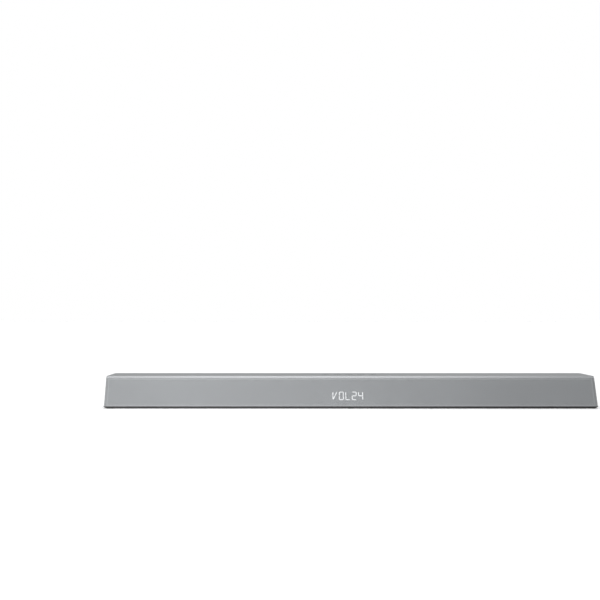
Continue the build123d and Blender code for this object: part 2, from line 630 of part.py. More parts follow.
def tweeter_housing(x):
    """Round face plate with a shallow cup behind it."""
    cup = disc(TWEETER_PLATE_RADIUS, GASKET_SHEET, GASKET_SHEET + FLANGE_SHEET)
    cup_floor = GASKET_SHEET - TWEETER_CUP_DEPTH
    cup += disc(TWEETER_CUP_RADIUS, cup_floor - BASKET_FLOOR, GASKET_SHEET)
    cup -= disc(TWEETER_CUP_RADIUS - BASKET_FLOOR, cup_floor, GASKET_SHEET)
    cup -= disc(DOME_RADIUS + 2 * DOME_GAP, GASKET_SHEET, GASKET_SHEET + FLANGE_SHEET)
    cup -= disc(DOME_RADIUS + DOME_GAP, cup_floor - BASKET_FLOOR, cup_floor)
    return face_plane(x, DRIVER_RISE, -BAFFLE_SET_IN) * cup - driver_screw_holes(SCREW_RADIUS + SNUG)


def tweeter_magnet(x):
    """Motor of the tweeter, with its ring gap."""
    front = GASKET_SHEET - TWEETER_CUP_DEPTH - BASKET_FLOOR
    motor = disc(TWEETER_MOTOR_RADIUS, front - TWEETER_MOTOR_DEPTH, front)
    motor += Pos(0, 0, TWEETER_BACK - BASKET_FLOOR / 2) * Box(2 * TERMINAL_TAB, TERMINAL_TAB, BASKET_FLOOR)
    inner = DOME_RADIUS - DOME_WALL - DOME_GAP
    gap = disc(DOME_RADIUS + DOME_GAP, front - DOME_PIT, front) - disc(inner, front - DOME_PIT, front)
    return face_plane(x, DRIVER_RISE, -BAFFLE_SET_IN) * (motor - gap)


def tweeter_dome(x):
    """Dome on its coil tube."""
    base = GASKET_SHEET - DOME_SET_IN
    ball_radius = (DOME_RADIUS ** 2 + DOME_RISE ** 2) / (2 * DOME_RISE)
    cap = Pos(0, 0, base + DOME_RISE - ball_radius) * (Sphere(ball_radius) - Sphere(ball_radius - DOME_WALL))
    cap &= disc(DOME_RADIUS, base, base + DOME_RISE)
    coil_end = base - DOME_COIL_LENGTH
    cap += disc(DOME_RADIUS, coil_end, base) - disc(DOME_RADIUS - DOME_WALL, coil_end, base)
    return face_plane(x, DRIVER_RISE, -BAFFLE_SET_IN) * cap


def driver_gaskets():
    """Foam ring under each driver flange."""
    rings = []
    holes = driver_screw_holes(SCREW_RADIUS + SNUG)
    for x in WOOFER_PLACES.values():
        ring = oval(WOOFER_SPAN, WOOFER_WIDTH, 0, GASKET_SHEET)
        ring -= oval(BASKET_SPAN + SLIP, BASKET_WIDTH + SLIP, 0, GASKET_SHEET)
        rings.append(face_plane(x, DRIVER_RISE, -BAFFLE_SET_IN) * ring - holes)
    for x in TWEETER_PLACES.values():
        ring = disc(TWEETER_PLATE_RADIUS, 0, GASKET_SHEET) - disc(TWEETER_CUP_RADIUS + SLIP, 0, GASKET_SHEET)
        rings.append(face_plane(x, DRIVER_RISE, -BAFFLE_SET_IN) * ring - holes)
    return rings


# Readout

def ribbon_x():
    """X of the middle of the ribbon cable, near one end of the readout board."""
    return READOUT_X + READOUT_BOARD_SPAN / 2 - RIBBON_WIDTH


def display_board():
    """Narrow board on the front of the baffle, with the remote control's receiver at one end."""
    plane = face_plane(READOUT_X, READOUT_RISE, -BAFFLE_SET_IN)
    board = Pos(0, 0, BOARD_SHEET / 2) * Box(READOUT_BOARD_SPAN, READOUT_WIDTH, BOARD_SHEET)
    receiver_x = (READOUT_BOARD_SPAN + READOUT_SPAN) / 4
    receiver = Box(RECEIVER_SPAN, RECEIVER_WIDTH, RECEIVER_HEIGHT)
    board += Pos(receiver_x, 0, BOARD_SHEET + RECEIVER_HEIGHT / 2) * receiver
    return plane * board


def display_light_guide():
    """Smoked block in front of the lamps, with a shallow panel for each character."""
    front = BAFFLE_SET_IN - GRILLE_SHEET - PANEL_GAP
    guide = Pos(0, 0, (front + BOARD_SHEET) / 2) * Box(READOUT_SPAN, READOUT_WIDTH, front - BOARD_SHEET)
    for place in range(-2, 3):
        panel = Box(CHARACTER_WIDTH, CHARACTER_HEIGHT, 2 * CHARACTER_RELIEF)
        guide -= Pos(place * CHARACTER_PITCH, 0, front) * panel
    return face_plane(READOUT_X, READOUT_RISE, -BAFFLE_SET_IN) * guide


def loom_socket_x(side):
    """X of the main board's connector for one side's speaker loom."""
    low, high = main_board_ends()
    return low + LOOM_SOCKET_X if side < 0 else high - LOOM_SOCKET_X


def terminal(out):
    """(y, z) of a driver's terminal, and of the point that its wire passes on its way out."""
    return on_face(DRIVER_RISE, out), on_face(DRIVER_RISE, out - LOOM_BEND)


def display_ribbon():
    """Flat cable from the readout, through the baffle, to the main board."""
    x = ribbon_x()
    start = on_face(READOUT_RISE, -BAFFLE_SET_IN)
    behind = on_face(READOUT_RISE, BAFFLE_BACK - RIBBON_REACH)
    crest = BOARD_TOP + RIBBON_CREST
    landing = BOARD_FRONT + RIBBON_LANDING
    corners = [start, behind, (BOARD_FRONT - RIBBON_CLEAR, crest), (landing, crest), (landing, BOARD_TOP)]
    path = FilletPolyline(*[(x, y, z) for y, z in corners], radius=[RIBBON_ARC] * 3)
    section = Plane(origin=path @ 0, x_dir=(1, 0, 0), z_dir=path % 0) * Rectangle(RIBBON_WIDTH, RIBBON_SHEET)
    return sweep(section, path=path)


# Keys

def key_places():
    """X of each key."""
    middle = (len(KEY_NAMES) - 1) / 2
    return [(number - middle) * KEY_PITCH for number in range(len(KEY_NAMES))]


def key_board_posts():
    """X of the two posts that hold the key board."""
    reach = (len(KEY_NAMES) / 2) * KEY_PITCH
    return [-reach, reach]


def key(x):
    """Oval key cap with a rim under the cover and a stem above its switch."""
    cap = oval(KEY_SPAN, KEY_WIDTH, ROOF, HEIGHT + KEY_PROUD)
    cap = fillet(cap.edges().group_by(Axis.Z)[-1], KEY_PROUD / 2)
    cap += oval(KEY_SPAN + 2 * KEY_RIM, KEY_WIDTH + 2 * KEY_RIM, ROOF - KEY_FLANGE, ROOF)
    cap += disc(SWITCH_SIDE / 3, ROOF - KEY_FLANGE - KEY_STEM, ROOF - KEY_FLANGE)
    return Pos(x, KEY_Y) * cap


def key_board():
    """Board that hangs below the keys, with one switch under each."""
    posts = key_board_posts()
    board_top = SWITCH_TOP - SWITCH_HEIGHT
    end = posts[1] + BOSS_RADIUS + BOARD_SHEET
    reach = KEY_BOARD_WIDTH / 2
    board = block(-end, end, KEY_Y - reach, KEY_Y + reach, board_top - BOARD_SHEET, board_top)
    for x in posts:
        board -= post(x, KEY_Y, board_top - BOARD_SHEET, board_top, SCREW_RADIUS + SNUG)
    half = SWITCH_SIDE / 2
    for x in key_places():
        board += block(x - half, x + half, KEY_Y - half, KEY_Y + half, board_top, SWITCH_TOP - KEY_FLANGE)
        board += post(x, KEY_Y, SWITCH_TOP - KEY_FLANGE, SWITCH_TOP, half / 2)
    return board


# Electronics

def bare_board(low, high):
    """Circuit board with its screw holes."""
    board = block(low, high, BOARD_FRONT, BOARD_BACK, BOARD_RISE, BOARD_TOP)
    for x, y in board_screw_spots():
        board -= post(x, y, BOARD_RISE, BOARD_TOP, SCREW_RADIUS + SNUG)
    return board


def on_board(x, y, span, width, low, high):
    """Block that is centred on (x, y) between two heights above the boards."""
    return Pos(x, y, BOARD_TOP + (low + high) / 2) * Box(span, width, high - low)


def main_board():
    """Board with the processor, the amplifier chip and the speaker connectors."""
    board = bare_board(*main_board_ends())
    for x in (PROCESSOR_X, AMPLIFIER_X):
        board += on_board(x, CHIP_Y, CHIP_SIDE, CHIP_SIDE, 0, CHIP_HEIGHT)
    for x in (loom_socket_x(-1), loom_socket_x(1)):
        y = BOARD_FRONT + LOOM_SOCKET_INSET + LOOM_SOCKET_WIDTH / 2
        board += on_board(x, y, LOOM_SOCKET_SPAN, LOOM_SOCKET_WIDTH, 0, LOOM_SOCKET_HEIGHT)
    return board


def heat_sink():
    """Finned block on the amplifier chip."""
    fin_low = CHIP_HEIGHT + SINK_PLATE
    sink = on_board(AMPLIFIER_X, CHIP_Y, SINK_SPAN, SINK_WIDTH, CHIP_HEIGHT, fin_low)
    pitch = (SINK_SPAN - FIN_SHEET) / (FIN_COUNT - 1)
    for number in range(FIN_COUNT):
        x = AMPLIFIER_X + (number - (FIN_COUNT - 1) / 2) * pitch
        sink += on_board(x, CHIP_Y, FIN_SHEET, SINK_WIDTH, fin_low, fin_low + FIN_HEIGHT)
    return sink


def wireless_module():
    """Small radio board with its metal can."""
    board = on_board(RADIO_X, RADIO_Y, RADIO_SPAN, RADIO_WIDTH, 0, RADIO_SHEET)
    return board + on_board(RADIO_X, RADIO_Y, CAN_SPAN, CAN_WIDTH, RADIO_SHEET, RADIO_SHEET + CAN_HEIGHT)


def power_board():
    """Board of the power supply, with its mains and output connectors."""
    board = bare_board(*power_board_ends())
    board += on_board(SOCKETS["ac"][0], AC_PLUG_Y, AC_PLUG_SPAN, AC_PLUG_WIDTH, 0, AC_PLUG_HEIGHT)
    return board + on_board(OUTPUT_PLUG_X, 0, OUTPUT_PLUG_SPAN, OUTPUT_PLUG_WIDTH, 0, LOOM_SOCKET_HEIGHT)


def transformer():
    """Wound core of the power supply."""
    core = on_board(TRANSFORMER_X, TRANSFORMER_Y, CORE_SPAN, CORE_WIDTH, 0, CORE_HEIGHT)
    winding_span = CORE_SPAN - 2 * WINDING_INSET
    winding_width = CORE_WIDTH + 2 * WINDING_PROUD
    winding = on_board(TRANSFORMER_X, TRANSFORMER_Y, winding_span, winding_width,
                       WINDING_INSET, CORE_HEIGHT - WINDING_INSET)
    return core + fillet(winding.edges().filter_by(Axis.Z), WINDING_ROUND)


def power_capacitors():
    """Two electrolytic capacitors."""
    cans = []
    for x in CAPACITOR_PLACES:
        can = post(x, CAPACITOR_Y, BOARD_TOP, BOARD_TOP + CAPACITOR_HEIGHT, CAPACITOR_RADIUS)
        cans.append(fillet(can.edges().group_by(Axis.Z)[-1], CAPACITOR_ROUND))
    return cans


def speaker_harness(side):
    """Loom from the main board, through the partition and along the chamber to its three drivers."""
    start_x = loom_socket_x(side)
    end_x = side * TWEETER_PLACES["right"]
    start = (start_x, BOARD_FRONT + LOOM_SOCKET_INSET, BOARD_TOP + LOOM_SOCKET_HEIGHT / 2)
    front_y = BOARD_FRONT - LOOM_BEND
    route = [start, (start_x, front_y, start[2]), (start_x, front_y, HARNESS_RISE),
             (start_x, HARNESS_Y, HARNESS_RISE), (end_x, HARNESS_Y, HARNESS_RISE)]
    end, leaving = terminal(TWEETER_TERMINAL)
    route += [(end_x, *leaving), (end_x, *end)]
    loom = tube(route, [LOOM_ARC] * 5, HARNESS_RADIUS)
    end, leaving = terminal(WOOFER_TERMINAL)
    for place in WOOFER_PLACES.values():
        if place * side > 0:
            x = place + WOOFER_TERMINAL_X
            loom += tube([(x, *end), (x, *leaving), (x, HARNESS_Y, HARNESS_RISE)], [LOOM_ARC], BRANCH_RADIUS)
    return loom


def ac_lead():
    """Two wires from the mains inlet down to the power board."""
    x = SOCKETS["ac"][0]
    middle = BOARD_TOP + SOCKETS["ac"][2] / 2
    wires = []
    for wire_x in (x - INLET_PIN_PITCH / 2, x + INLET_PIN_PITCH / 2):
        corners = [(wire_x, SOCKET_BACK, middle), (wire_x, AC_PLUG_Y, middle),
                   (wire_x, AC_PLUG_Y, BOARD_TOP + AC_PLUG_HEIGHT)]
        wires.append(tube(corners, [LEAD_ARC], LEAD_RADIUS))
    return wires


# Sockets

def connector_bay():
    """Open box behind the hole in the rear wall, with a hole for each socket."""
    low = RECESS_INNER - RECESS_WALL
    tray = block(RECESS_LEFT - RECESS_WALL, RECESS_RIGHT + RECESS_WALL, low, INNER_BACK,
                 RECESS_FLOOR - RECESS_WALL, RECESS_ROOF + RECESS_WALL)
    tray -= block(RECESS_LEFT, RECESS_RIGHT, RECESS_INNER, BACK, RECESS_FLOOR, RECESS_ROOF)
    for x, width, height in SOCKETS.values():
        reach = width / 2 + PANEL_GAP
        top = BOARD_TOP + height + PANEL_GAP
        tray -= block(x - reach, x + reach, low, RECESS_INNER, BOARD_TOP - PANEL_GAP, top)
    return tray


def socket_body(name):
    """Outer block of a socket, standing on its board."""
    x, width, height = SOCKETS[name]
    return block(x - width / 2, x + width / 2, SOCKET_BACK, SOCKET_MOUTH, BOARD_TOP, BOARD_TOP + height)


def flat_socket(name, wall, corner, tongue_width, tongue_sheet):
    """Socket with a flat mouth whose lower corners are cut, and a tongue in the middle."""
    x, width, height = SOCKETS[name]
    middle = BOARD_TOP + height / 2
    deep = SOCKET_MOUTH - FLAT_MOUTH_DEPTH
    mouth = block(x - width / 2 + wall, x + width / 2 - wall, deep, SOCKET_MOUTH, BOARD_TOP + wall,
                  BOARD_TOP + height - wall)
    mouth = chamfer(mouth.edges().filter_by(Axis.Y).group_by(Axis.Z)[0], corner)
    tongue = block(x - tongue_width / 2, x + tongue_width / 2, deep, SOCKET_MOUTH - TONGUE_SET_IN,
                   middle - tongue_sheet / 2, middle + tongue_sheet / 2)
    return socket_body(name) - mouth + tongue


def optical_hinge():
    """(y, z) of the shutter's hinge line."""
    return SOCKET_MOUTH - SHUTTER_SET_IN, BOARD_TOP + SOCKETS["optical"][2] - SHUTTER_DROP


def optical_socket():
    """Socket for the optical lead, with a deep square mouth."""
    x, _, height = SOCKETS["optical"]
    y, z = optical_hinge()
    half = OPTICAL_MOUTH / 2
    mouth = block(x - half, x + half, SOCKET_MOUTH - OPTICAL_DEPTH, SOCKET_MOUTH, BOARD_TOP + OPTICAL_WALL,
                  BOARD_TOP + height - OPTICAL_WALL)
    pin_hole = Pos(x, y, z) * Rot(0, 90, 0) * Cylinder(SHUTTER_PIN + SNUG, SHUTTER_PIN_LENGTH + SLIP)
    return socket_body("optical") - mouth - pin_hole


def optical_shutter():
    """Sprung flap that closes the optical socket and swings in when a plug goes in."""
    x = SOCKETS["optical"][0]
    y, z = optical_hinge()
    half = SHUTTER_SHEET / 2
    reach = OPTICAL_MOUTH / 2 - SLIP
    flap = block(x - reach, x + reach, y - half, y + half, BOARD_TOP + OPTICAL_WALL + SLIP, z + half)
    return flap + Pos(x, y, z) * Rot(0, 90, 0) * Cylinder(SHUTTER_PIN, SHUTTER_PIN_LENGTH)


def aux_socket():
    """Round 3.5 mm jack."""
    x, width, height = SOCKETS["aux"]
    middle = BOARD_TOP + height / 2
    body = block(x - width / 2, x + width / 2, SOCKET_BACK, BOARD_BACK, BOARD_TOP, BOARD_TOP + height)
    body += rod_back(x, middle, BOARD_BACK, SOCKET_MOUTH, AUX_COLLAR_RADIUS)
    return body - rod_back(x, middle, SOCKET_MOUTH - AUX_BORE_DEPTH, SOCKET_MOUTH, AUX_BORE_RADIUS)


def ac_inlet():
    """Two pin mains inlet with a figure of eight mouth."""
    x, _, height = SOCKETS["ac"]
    middle = BOARD_TOP + height / 2
    mouth = Plane(origin=(x, SOCKET_MOUTH, middle), x_dir=(1, 0, 0), z_dir=(0, -1, 0))
    body = socket_body("ac") - extrude(mouth * SlotOverall(INLET_MOUTH_SPAN, INLET_MOUTH_WIDTH), INLET_DEPTH)
    deep = SOCKET_MOUTH - INLET_DEPTH
    for pin_x in (x - INLET_PIN_PITCH / 2, x + INLET_PIN_PITCH / 2):
        body += rod_back(pin_x, middle, deep, SOCKET_MOUTH - INLET_PIN_SET_IN, INLET_PIN_RADIUS)
    return body


# Fasteners

def cover_screws():
    """Screws that go up through the base into the top cover."""
    seat = FLOOR + PEDESTAL_HEIGHT / 2
    return [Pos(x, COVER_BOSS_Y, seat) * Rot(180, 0, 0) * screw(LONG_SCREW_LENGTH) for x in COVER_BOSS_PLACES]


def small_screws():
    """Screws of the drivers, the baffle and the boards."""
    screws = []
    for x, rise, height in driver_screw_spots():
        screws.append(face_plane(x, rise, height - BAFFLE_SET_IN) * screw(SMALL_SCREW_LENGTH))
    for x in BAFFLE_SCREW_PLACES:
        screws.append(face_plane(x, BAFFLE_SCREW_RISE, -BAFFLE_SET_IN) * screw(SMALL_SCREW_LENGTH))
    for x, y in board_screw_spots():
        screws.append(Pos(x, y, BOARD_TOP) * screw(SMALL_SCREW_LENGTH))
    for x in key_board_posts():
        bottom = SWITCH_TOP - SWITCH_HEIGHT - BOARD_SHEET
        screws.append(Pos(x, KEY_Y, bottom) * Rot(180, 0, 0) * screw(SMALL_SCREW_LENGTH))
    return screws


def wall_mount_inserts():
    """Threaded brass inserts in the rear wall for a wall bracket."""
    inserts = []
    for x in (-WALL_MOUNT_SPAN / 2, WALL_MOUNT_SPAN / 2):
        body = rod_back(x, WALL_MOUNT_RISE, BACK - INSERT_LENGTH, BACK, INSERT_RADIUS)
        inserts.append(body - rod_back(x, WALL_MOUNT_RISE, BACK - INSERT_LENGTH, BACK, INSERT_BORE_RADIUS))
    return inserts


def all_pieces():
    """Every node by name: one solid, or a list of separate solids of the same kind."""
    pieces = {
        "front_grille": front_grille(), "grille_scrim": grille_scrim(), "top_cover": top_cover(),
        "end_cap_left": end_cap(-1), "end_cap_right": end_cap(1), "front_baffle": front_baffle(),
        "lower_housing": lower_housing(), "rubber_feet": rubber_feet(), "driver_gaskets": driver_gaskets(),
        "display_board": display_board(), "display_light_guide": display_light_guide(),
        "display_ribbon": display_ribbon(), "key_board": key_board(), "main_board": main_board(),
        "heat_sink": heat_sink(), "wireless_module": wireless_module(), "power_board": power_board(),
        "transformer": transformer(), "power_capacitors": power_capacitors(),
        "speaker_harness_left": speaker_harness(-1), "speaker_harness_right": speaker_harness(1),
        "ac_lead": ac_lead(), "connector_bay": connector_bay(),
        "hdmi_in_socket": flat_socket("hdmi_in", *HDMI_MOUTH),
        "hdmi_out_socket": flat_socket("hdmi_out", *HDMI_MOUTH),
        "usb_socket": flat_socket("usb", *USB_MOUTH), "optical_socket": optical_socket(),
        "optical_shutter": optical_shutter(), "aux_socket": aux_socket(), "ac_inlet": ac_inlet(),
        "cover_screws": cover_screws(), "small_screws": small_screws(),
        "wall_mount_inserts": wall_mount_inserts(),
    }
    for name, x in WOOFER_PLACES.items():
        pieces["woofer_" + name + "_basket"] = woofer_basket(x)
        pieces["woofer_" + name + "_magnet"] = woofer_magnet(x)
        pieces["woofer_" + name + "_cone"] = woofer_cone(x)
        pieces["woofer_" + name + "_suspension"] = woofer_suspension(x)
    for name, x in TWEETER_PLACES.items():
        pieces["tweeter_" + name + "_housing"] = tweeter_housing(x)
        pieces["tweeter_" + name + "_magnet"] = tweeter_magnet(x)
        pieces["tweeter_" + name + "_dome"] = tweeter_dome(x)
    for name, x in zip(KEY_NAMES, key_places()):
        pieces["key_" + name] = key(x)
    return pieces


os.makedirs("parts", exist_ok=True)
for piece_name, shape in all_pieces().items():
    if isinstance(shape, list):
        shape = Compound(children=[solid for item in shape for solid in item.solids()])
    export_step(shape, "parts/" + piece_name + ".step")
    print(piece_name, round(shape.volume, 1))
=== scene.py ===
# %% [markdown]
# # A long, low soundbar
# This lesson dresses a working design of a soundbar: a silver top and end plates, a leaning grille with
# thousands of tiny holes, a black base, five keys, a lit readout and a recessed row of sockets. The design
# arrives as a fixed frame, so every piece made here takes its place from that frame and nothing is fitted
# by eye.

# %% Load the frame
import json
import math

import bpy
from mathutils import Matrix, Vector


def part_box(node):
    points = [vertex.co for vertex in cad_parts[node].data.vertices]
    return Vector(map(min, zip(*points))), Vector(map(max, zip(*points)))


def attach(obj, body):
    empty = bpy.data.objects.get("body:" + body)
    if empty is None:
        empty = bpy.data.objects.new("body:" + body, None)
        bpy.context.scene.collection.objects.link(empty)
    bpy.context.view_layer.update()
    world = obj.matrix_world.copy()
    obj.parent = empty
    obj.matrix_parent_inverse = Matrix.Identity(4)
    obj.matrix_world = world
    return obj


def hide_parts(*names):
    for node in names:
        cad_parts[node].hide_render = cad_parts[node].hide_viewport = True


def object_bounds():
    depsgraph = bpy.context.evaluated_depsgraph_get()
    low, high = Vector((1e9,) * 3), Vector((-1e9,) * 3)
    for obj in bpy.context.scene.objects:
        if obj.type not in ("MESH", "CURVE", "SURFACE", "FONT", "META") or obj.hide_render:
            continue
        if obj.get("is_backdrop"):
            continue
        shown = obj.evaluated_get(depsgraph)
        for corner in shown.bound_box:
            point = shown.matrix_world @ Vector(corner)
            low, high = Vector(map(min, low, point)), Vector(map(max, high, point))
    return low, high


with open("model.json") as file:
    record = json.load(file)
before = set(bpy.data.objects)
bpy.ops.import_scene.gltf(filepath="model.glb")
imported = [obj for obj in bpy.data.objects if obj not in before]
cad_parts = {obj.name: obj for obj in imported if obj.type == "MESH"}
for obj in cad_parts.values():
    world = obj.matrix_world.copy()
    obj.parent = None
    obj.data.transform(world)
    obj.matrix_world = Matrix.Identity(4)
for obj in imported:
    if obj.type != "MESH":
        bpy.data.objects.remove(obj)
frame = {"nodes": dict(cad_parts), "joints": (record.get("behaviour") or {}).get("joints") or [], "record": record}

cad_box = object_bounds()
nodes = frame["nodes"]
print("nodes", len(nodes), "box", [round(v, 4) for v in (*cad_box[0], *cad_box[1])])

# %% [markdown]
# The grille leans back. The woofers move straight out of it, so the direction of their stroke is also the
# direction that the grille faces. From it comes one matrix, `on_face`, that carries a piece modelled flat
# on the table (X along the bar, Y up the slope, Z outwards) onto the grille.

# %% The leaning face
stroke = next(j for j in frame["joints"] if j["name"] == "woofer_inner_left_stroke")
outward = Vector(stroke["axis"]).normalized()
up_slope = Vector((0, outward.z, -outward.y))
grille_low, grille_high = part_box("front_grille")
foot_of_face = Vector((0, grille_low.y, grille_low.z))
on_face = Matrix((
    (1, 0, 0, 0),
    (0, up_slope.y, outward.y, foot_of_face.y),
    (0, up_slope.z, outward.z, foot_of_face.z),
    (0, 0, 0, 1),
))
face_run = (grille_high.z - grille_low.z) / up_slope.z
lean_back = math.asin(up_slope.y)
print("lean", round(math.degrees(lean_back), 2), "degrees, face", round(face_run * 1000, 1), "mm")

# %% [markdown]
# Everything is deselected before each new piece, because an edit mode operator acts on all that is
# selected. `pick` chooses faces or edges by a rule about their place, as a hand would click them, and
# `settle` bakes an object's place into its mesh so that it sits at the origin like the frame's nodes.

# %% Small helpers for modelling
MM = 0.001


def fresh():
    """Leaves edit mode and selects nothing."""
    if bpy.context.object and bpy.context.object.mode != "OBJECT":
        bpy.ops.object.mode_set(mode="OBJECT")
    bpy.ops.object.select_all(action="DESELECT")


def name_it(name):
    """Names the primitive that was just added."""
    piece = bpy.context.object
    piece.name = name
    piece.data.name = name
    return piece


def slab(name, size, centre):
    """Adds a rectangular block at its size and place."""
    fresh()
    bpy.ops.mesh.primitive_cube_add(size=1, location=centre)
    piece = name_it(name)
    piece.scale = size
    bpy.ops.object.transform_apply(location=True, rotation=True, scale=True)
    return piece


def pick(piece, kind, rule):
    """Selects the faces or edges whose middle obeys the rule, and stays in edit mode."""
    fresh()
    bpy.context.view_layer.objects.active = piece
    piece.select_set(True)
    bpy.ops.object.mode_set(mode="EDIT")
    bpy.ops.mesh.select_mode(type=kind)
    bpy.ops.mesh.select_all(action="DESELECT")
    bpy.ops.object.mode_set(mode="OBJECT")
    mesh = piece.data
    for part in mesh.polygons if kind == "FACE" else mesh.edges:
        corners = [mesh.vertices[i].co for i in part.vertices]
        part.select = bool(rule(sum(corners, Vector()) / len(corners), part))
    bpy.ops.object.mode_set(mode="EDIT")


def bevel_all(piece, width, segments):
    """Rounds every edge with a bevel modifier and applies it."""
    fresh()
    bpy.context.view_layer.objects.active = piece
    piece.select_set(True)
    bevel = piece.modifiers.new("round", "BEVEL")
    bevel.width = width
    bevel.segments = segments
    bevel.limit_method = "ANGLE"
    bpy.ops.object.modifier_apply(modifier=bevel.name)


def settle(piece, matrix=None):
    """Puts the piece in its place through its mesh, leaving the object at the origin."""
    fresh()
    bpy.context.view_layer.objects.active = piece
    piece.select_set(True)
    bpy.ops.object.transform_apply(location=True, rotation=True, scale=True)
    if matrix is not None:
        piece.data.transform(matrix)
    piece.data.update()
    return piece


def join(name, pieces):
    """Joins pieces into the first one."""
    fresh()
    for piece in pieces:
        piece.select_set(True)
    bpy.context.view_layer.objects.active = pieces[0]
    bpy.ops.object.join()
    return name_it(name)


def finish_with(piece, material):
    """Gives the piece one material."""
    piece.data.materials.clear()
    piece.data.materials.append(material)


print("modelling helpers ready")

# %% [markdown]
# A finish is a small graph of shader nodes. Written as plain expressions it stays readable: a `Signal`
# wraps one node socket, and adding or multiplying signals adds Math nodes. A `Finish` owns the material
# and makes every other kind of node.

# %% Shader maths as expressions
class Signal:
    """One number that flows through a material."""

    def __init__(self, finish, socket):
        self.finish = finish
        self.socket = socket

    def __add__(self, other):
        return self.finish.maths("ADD", self, other)

    __radd__ = __add__

    def __mul__(self, other):
        return self.finish.maths("MULTIPLY", self, other)

    def __sub__(self, other):
        return self.finish.maths("SUBTRACT", self, other)

    def __rsub__(self, other):
        return self.finish.maths("SUBTRACT", other, self)

    def __truediv__(self, other):
        return self.finish.maths("DIVIDE", self, other)

    def __gt__(self, other):
        return self.finish.maths("GREATER_THAN", self, other)

    def __lt__(self, other):
        return self.finish.maths("LESS_THAN", self, other)


class Finish:
    """A material with the principled shader, and the nodes that drive it."""

    def __init__(self, name, **fixed):
        self.material = bpy.data.materials.new(name)
        self.material.use_nodes = True
        self.tree = self.material.node_tree
        self.shader = self.tree.nodes["Principled BSDF"]
        for socket, value in fixed.items():
            self.shader.inputs[socket.replace("_", " ")].default_value = value
        self.place = self.make("ShaderNodeTexCoord").outputs["Object"]

    def plug(self, socket, value):
        """Sets a socket, or links it where the value is a signal."""
        if isinstance(value, Signal):
            value = value.socket
        if isinstance(value, bpy.types.NodeSocket):
            self.tree.links.new(value, socket)
        elif socket.type == "RGBA" and len(value) == 3:
            socket.default_value = (*value, 1)
        else:
            socket.default_value = value

    def make(self, kind, settings=None, inputs=None):
        """Adds a node: its settings first, then its sockets, by name or by number."""
        node = self.tree.nodes.new(kind)
        for name, value in (settings or {}).items():
            if name == "stops":
                self.set_stops(node.color_ramp, value)
            else:
                setattr(node, name, value)
        for name, value in (inputs or {}).items():
            self.plug(node.inputs[name], value)
        return node

    def set_stops(self, ramp, stops):
        """Fills a ramp with (position, brightness) stops."""
        while len(ramp.elements) < len(stops):
            ramp.elements.new(1)
        for element, (position, level) in zip(ramp.elements, stops):
            element.position = position
            element.color = (level, level, level, 1)

    def maths(self, operation, *values):
        """One Math node as a signal."""
        node = self.make("ShaderNodeMath", {"operation": operation}, dict(enumerate(values)))
        return Signal(self, node.outputs[0])

    def axes(self, place=None):
        """The three coordinates of a place as signals."""
        node = self.make("ShaderNodeSeparateXYZ", None, {0: place or self.place})
        return [Signal(self, output) for output in node.outputs]

    def noise(self, scale, detail, rough=0.5, place=None):
        """Cloudy noise from 0 to 1, with about scale clouds in a metre."""
        inputs = {"Vector": place or self.place, "Scale": scale, "Detail": detail, "Roughness": rough}
        return Signal(self, self.make("ShaderNodeTexNoise", None, inputs).outputs["Fac"])

    def cells(self, scale):
        """Distance to the middle of the nearest of many small cells."""
        inputs = {"Vector": self.place, "Scale": scale}
        return Signal(self, self.make("ShaderNodeTexVoronoi", None, inputs).outputs["Distance"])

    def stretched(self, scale, turn=(0, 0, 0)):
        """The piece's own coordinates, turned and stretched."""
        inputs = {"Vector": self.place, "Scale": scale, "Rotation": turn}
        return self.make("ShaderNodeMapping", None, inputs).outputs[0]

    def ramp(self, value, *stops):
        """A value spread out between (position, brightness) stops."""
        node = self.make("ShaderNodeValToRGB", {"stops": stops}, {"Fac": value})
        return Signal(self, node.outputs["Color"])

    def between(self, amount, dark, light):
        """A colour between two others; the Mix node's colours are its sockets 6 and 7."""
        return self.make("ShaderNodeMix", {"data_type": "RGBA"}, {0: amount, 6: dark, 7: light}).outputs[2]

    def near(self, value, middle, reach):
        """1 where the value is within reach of the middle."""
        return self.maths("ABSOLUTE", value - middle) < reach

    def bump(self, height, strength, depth):
        """Raises the surface where height is 1."""
        inputs = {"Height": height, "Strength": strength, "Distance": depth}
        self.plug(self.shader.inputs["Normal"], self.make("ShaderNodeBump", None, inputs).outputs[0])

    def drive(self, **sockets):
        """Feeds shader sockets: Base_Color=..., Roughness=..., Metallic=... ."""
        for socket, value in sockets.items():
            self.plug(self.shader.inputs[socket.replace("_", " ")], value)


def grey(level, warm=0.0):
    """A near neutral colour; warm leans it to red, and below 0 to blue."""
    return (level * (1 + warm), level, level * (1 - warm))


print("shader helpers ready")

# %% [markdown]
# ## Silver paint
# The top and the end plates of the real bar are moulded plastic under a satin silver paint. Such paint
# holds tiny metal flakes, so it behaves as a soft metal: a fine grain in its brightness, a slow drift in
# its gloss where hands have been, and no clear reflection. A painted texture could be wrapped on, but
# noise in the piece's own coordinates has no seams and needs no file.

# %% Silver paint
def silver_paint(name, level):
    finish = Finish(name, Metallic=0.42, Specular_IOR_Level=0.15)
    flakes = finish.noise(2600, 2.0, 0.6)
    drift = finish.noise(9, 3.0)
    tone = finish.ramp(flakes * 0.55 + drift * 0.45, (0.3, 0.0), (0.7, 1.0))
    finish.drive(Base_Color=finish.between(tone, grey(level * 0.96, -0.02), grey(level * 1.04, -0.025)))
    finish.drive(Roughness=drift * 0.03 + flakes * 0.05 + 0.33)
    finish.bump(flakes, 0.06, 0.02 * MM)
    return finish.material


silver = silver_paint("silver_paint", 0.31)
key_silver = silver_paint("silver_key_paint", 0.28)
print("made", silver.name, key_silver.name)

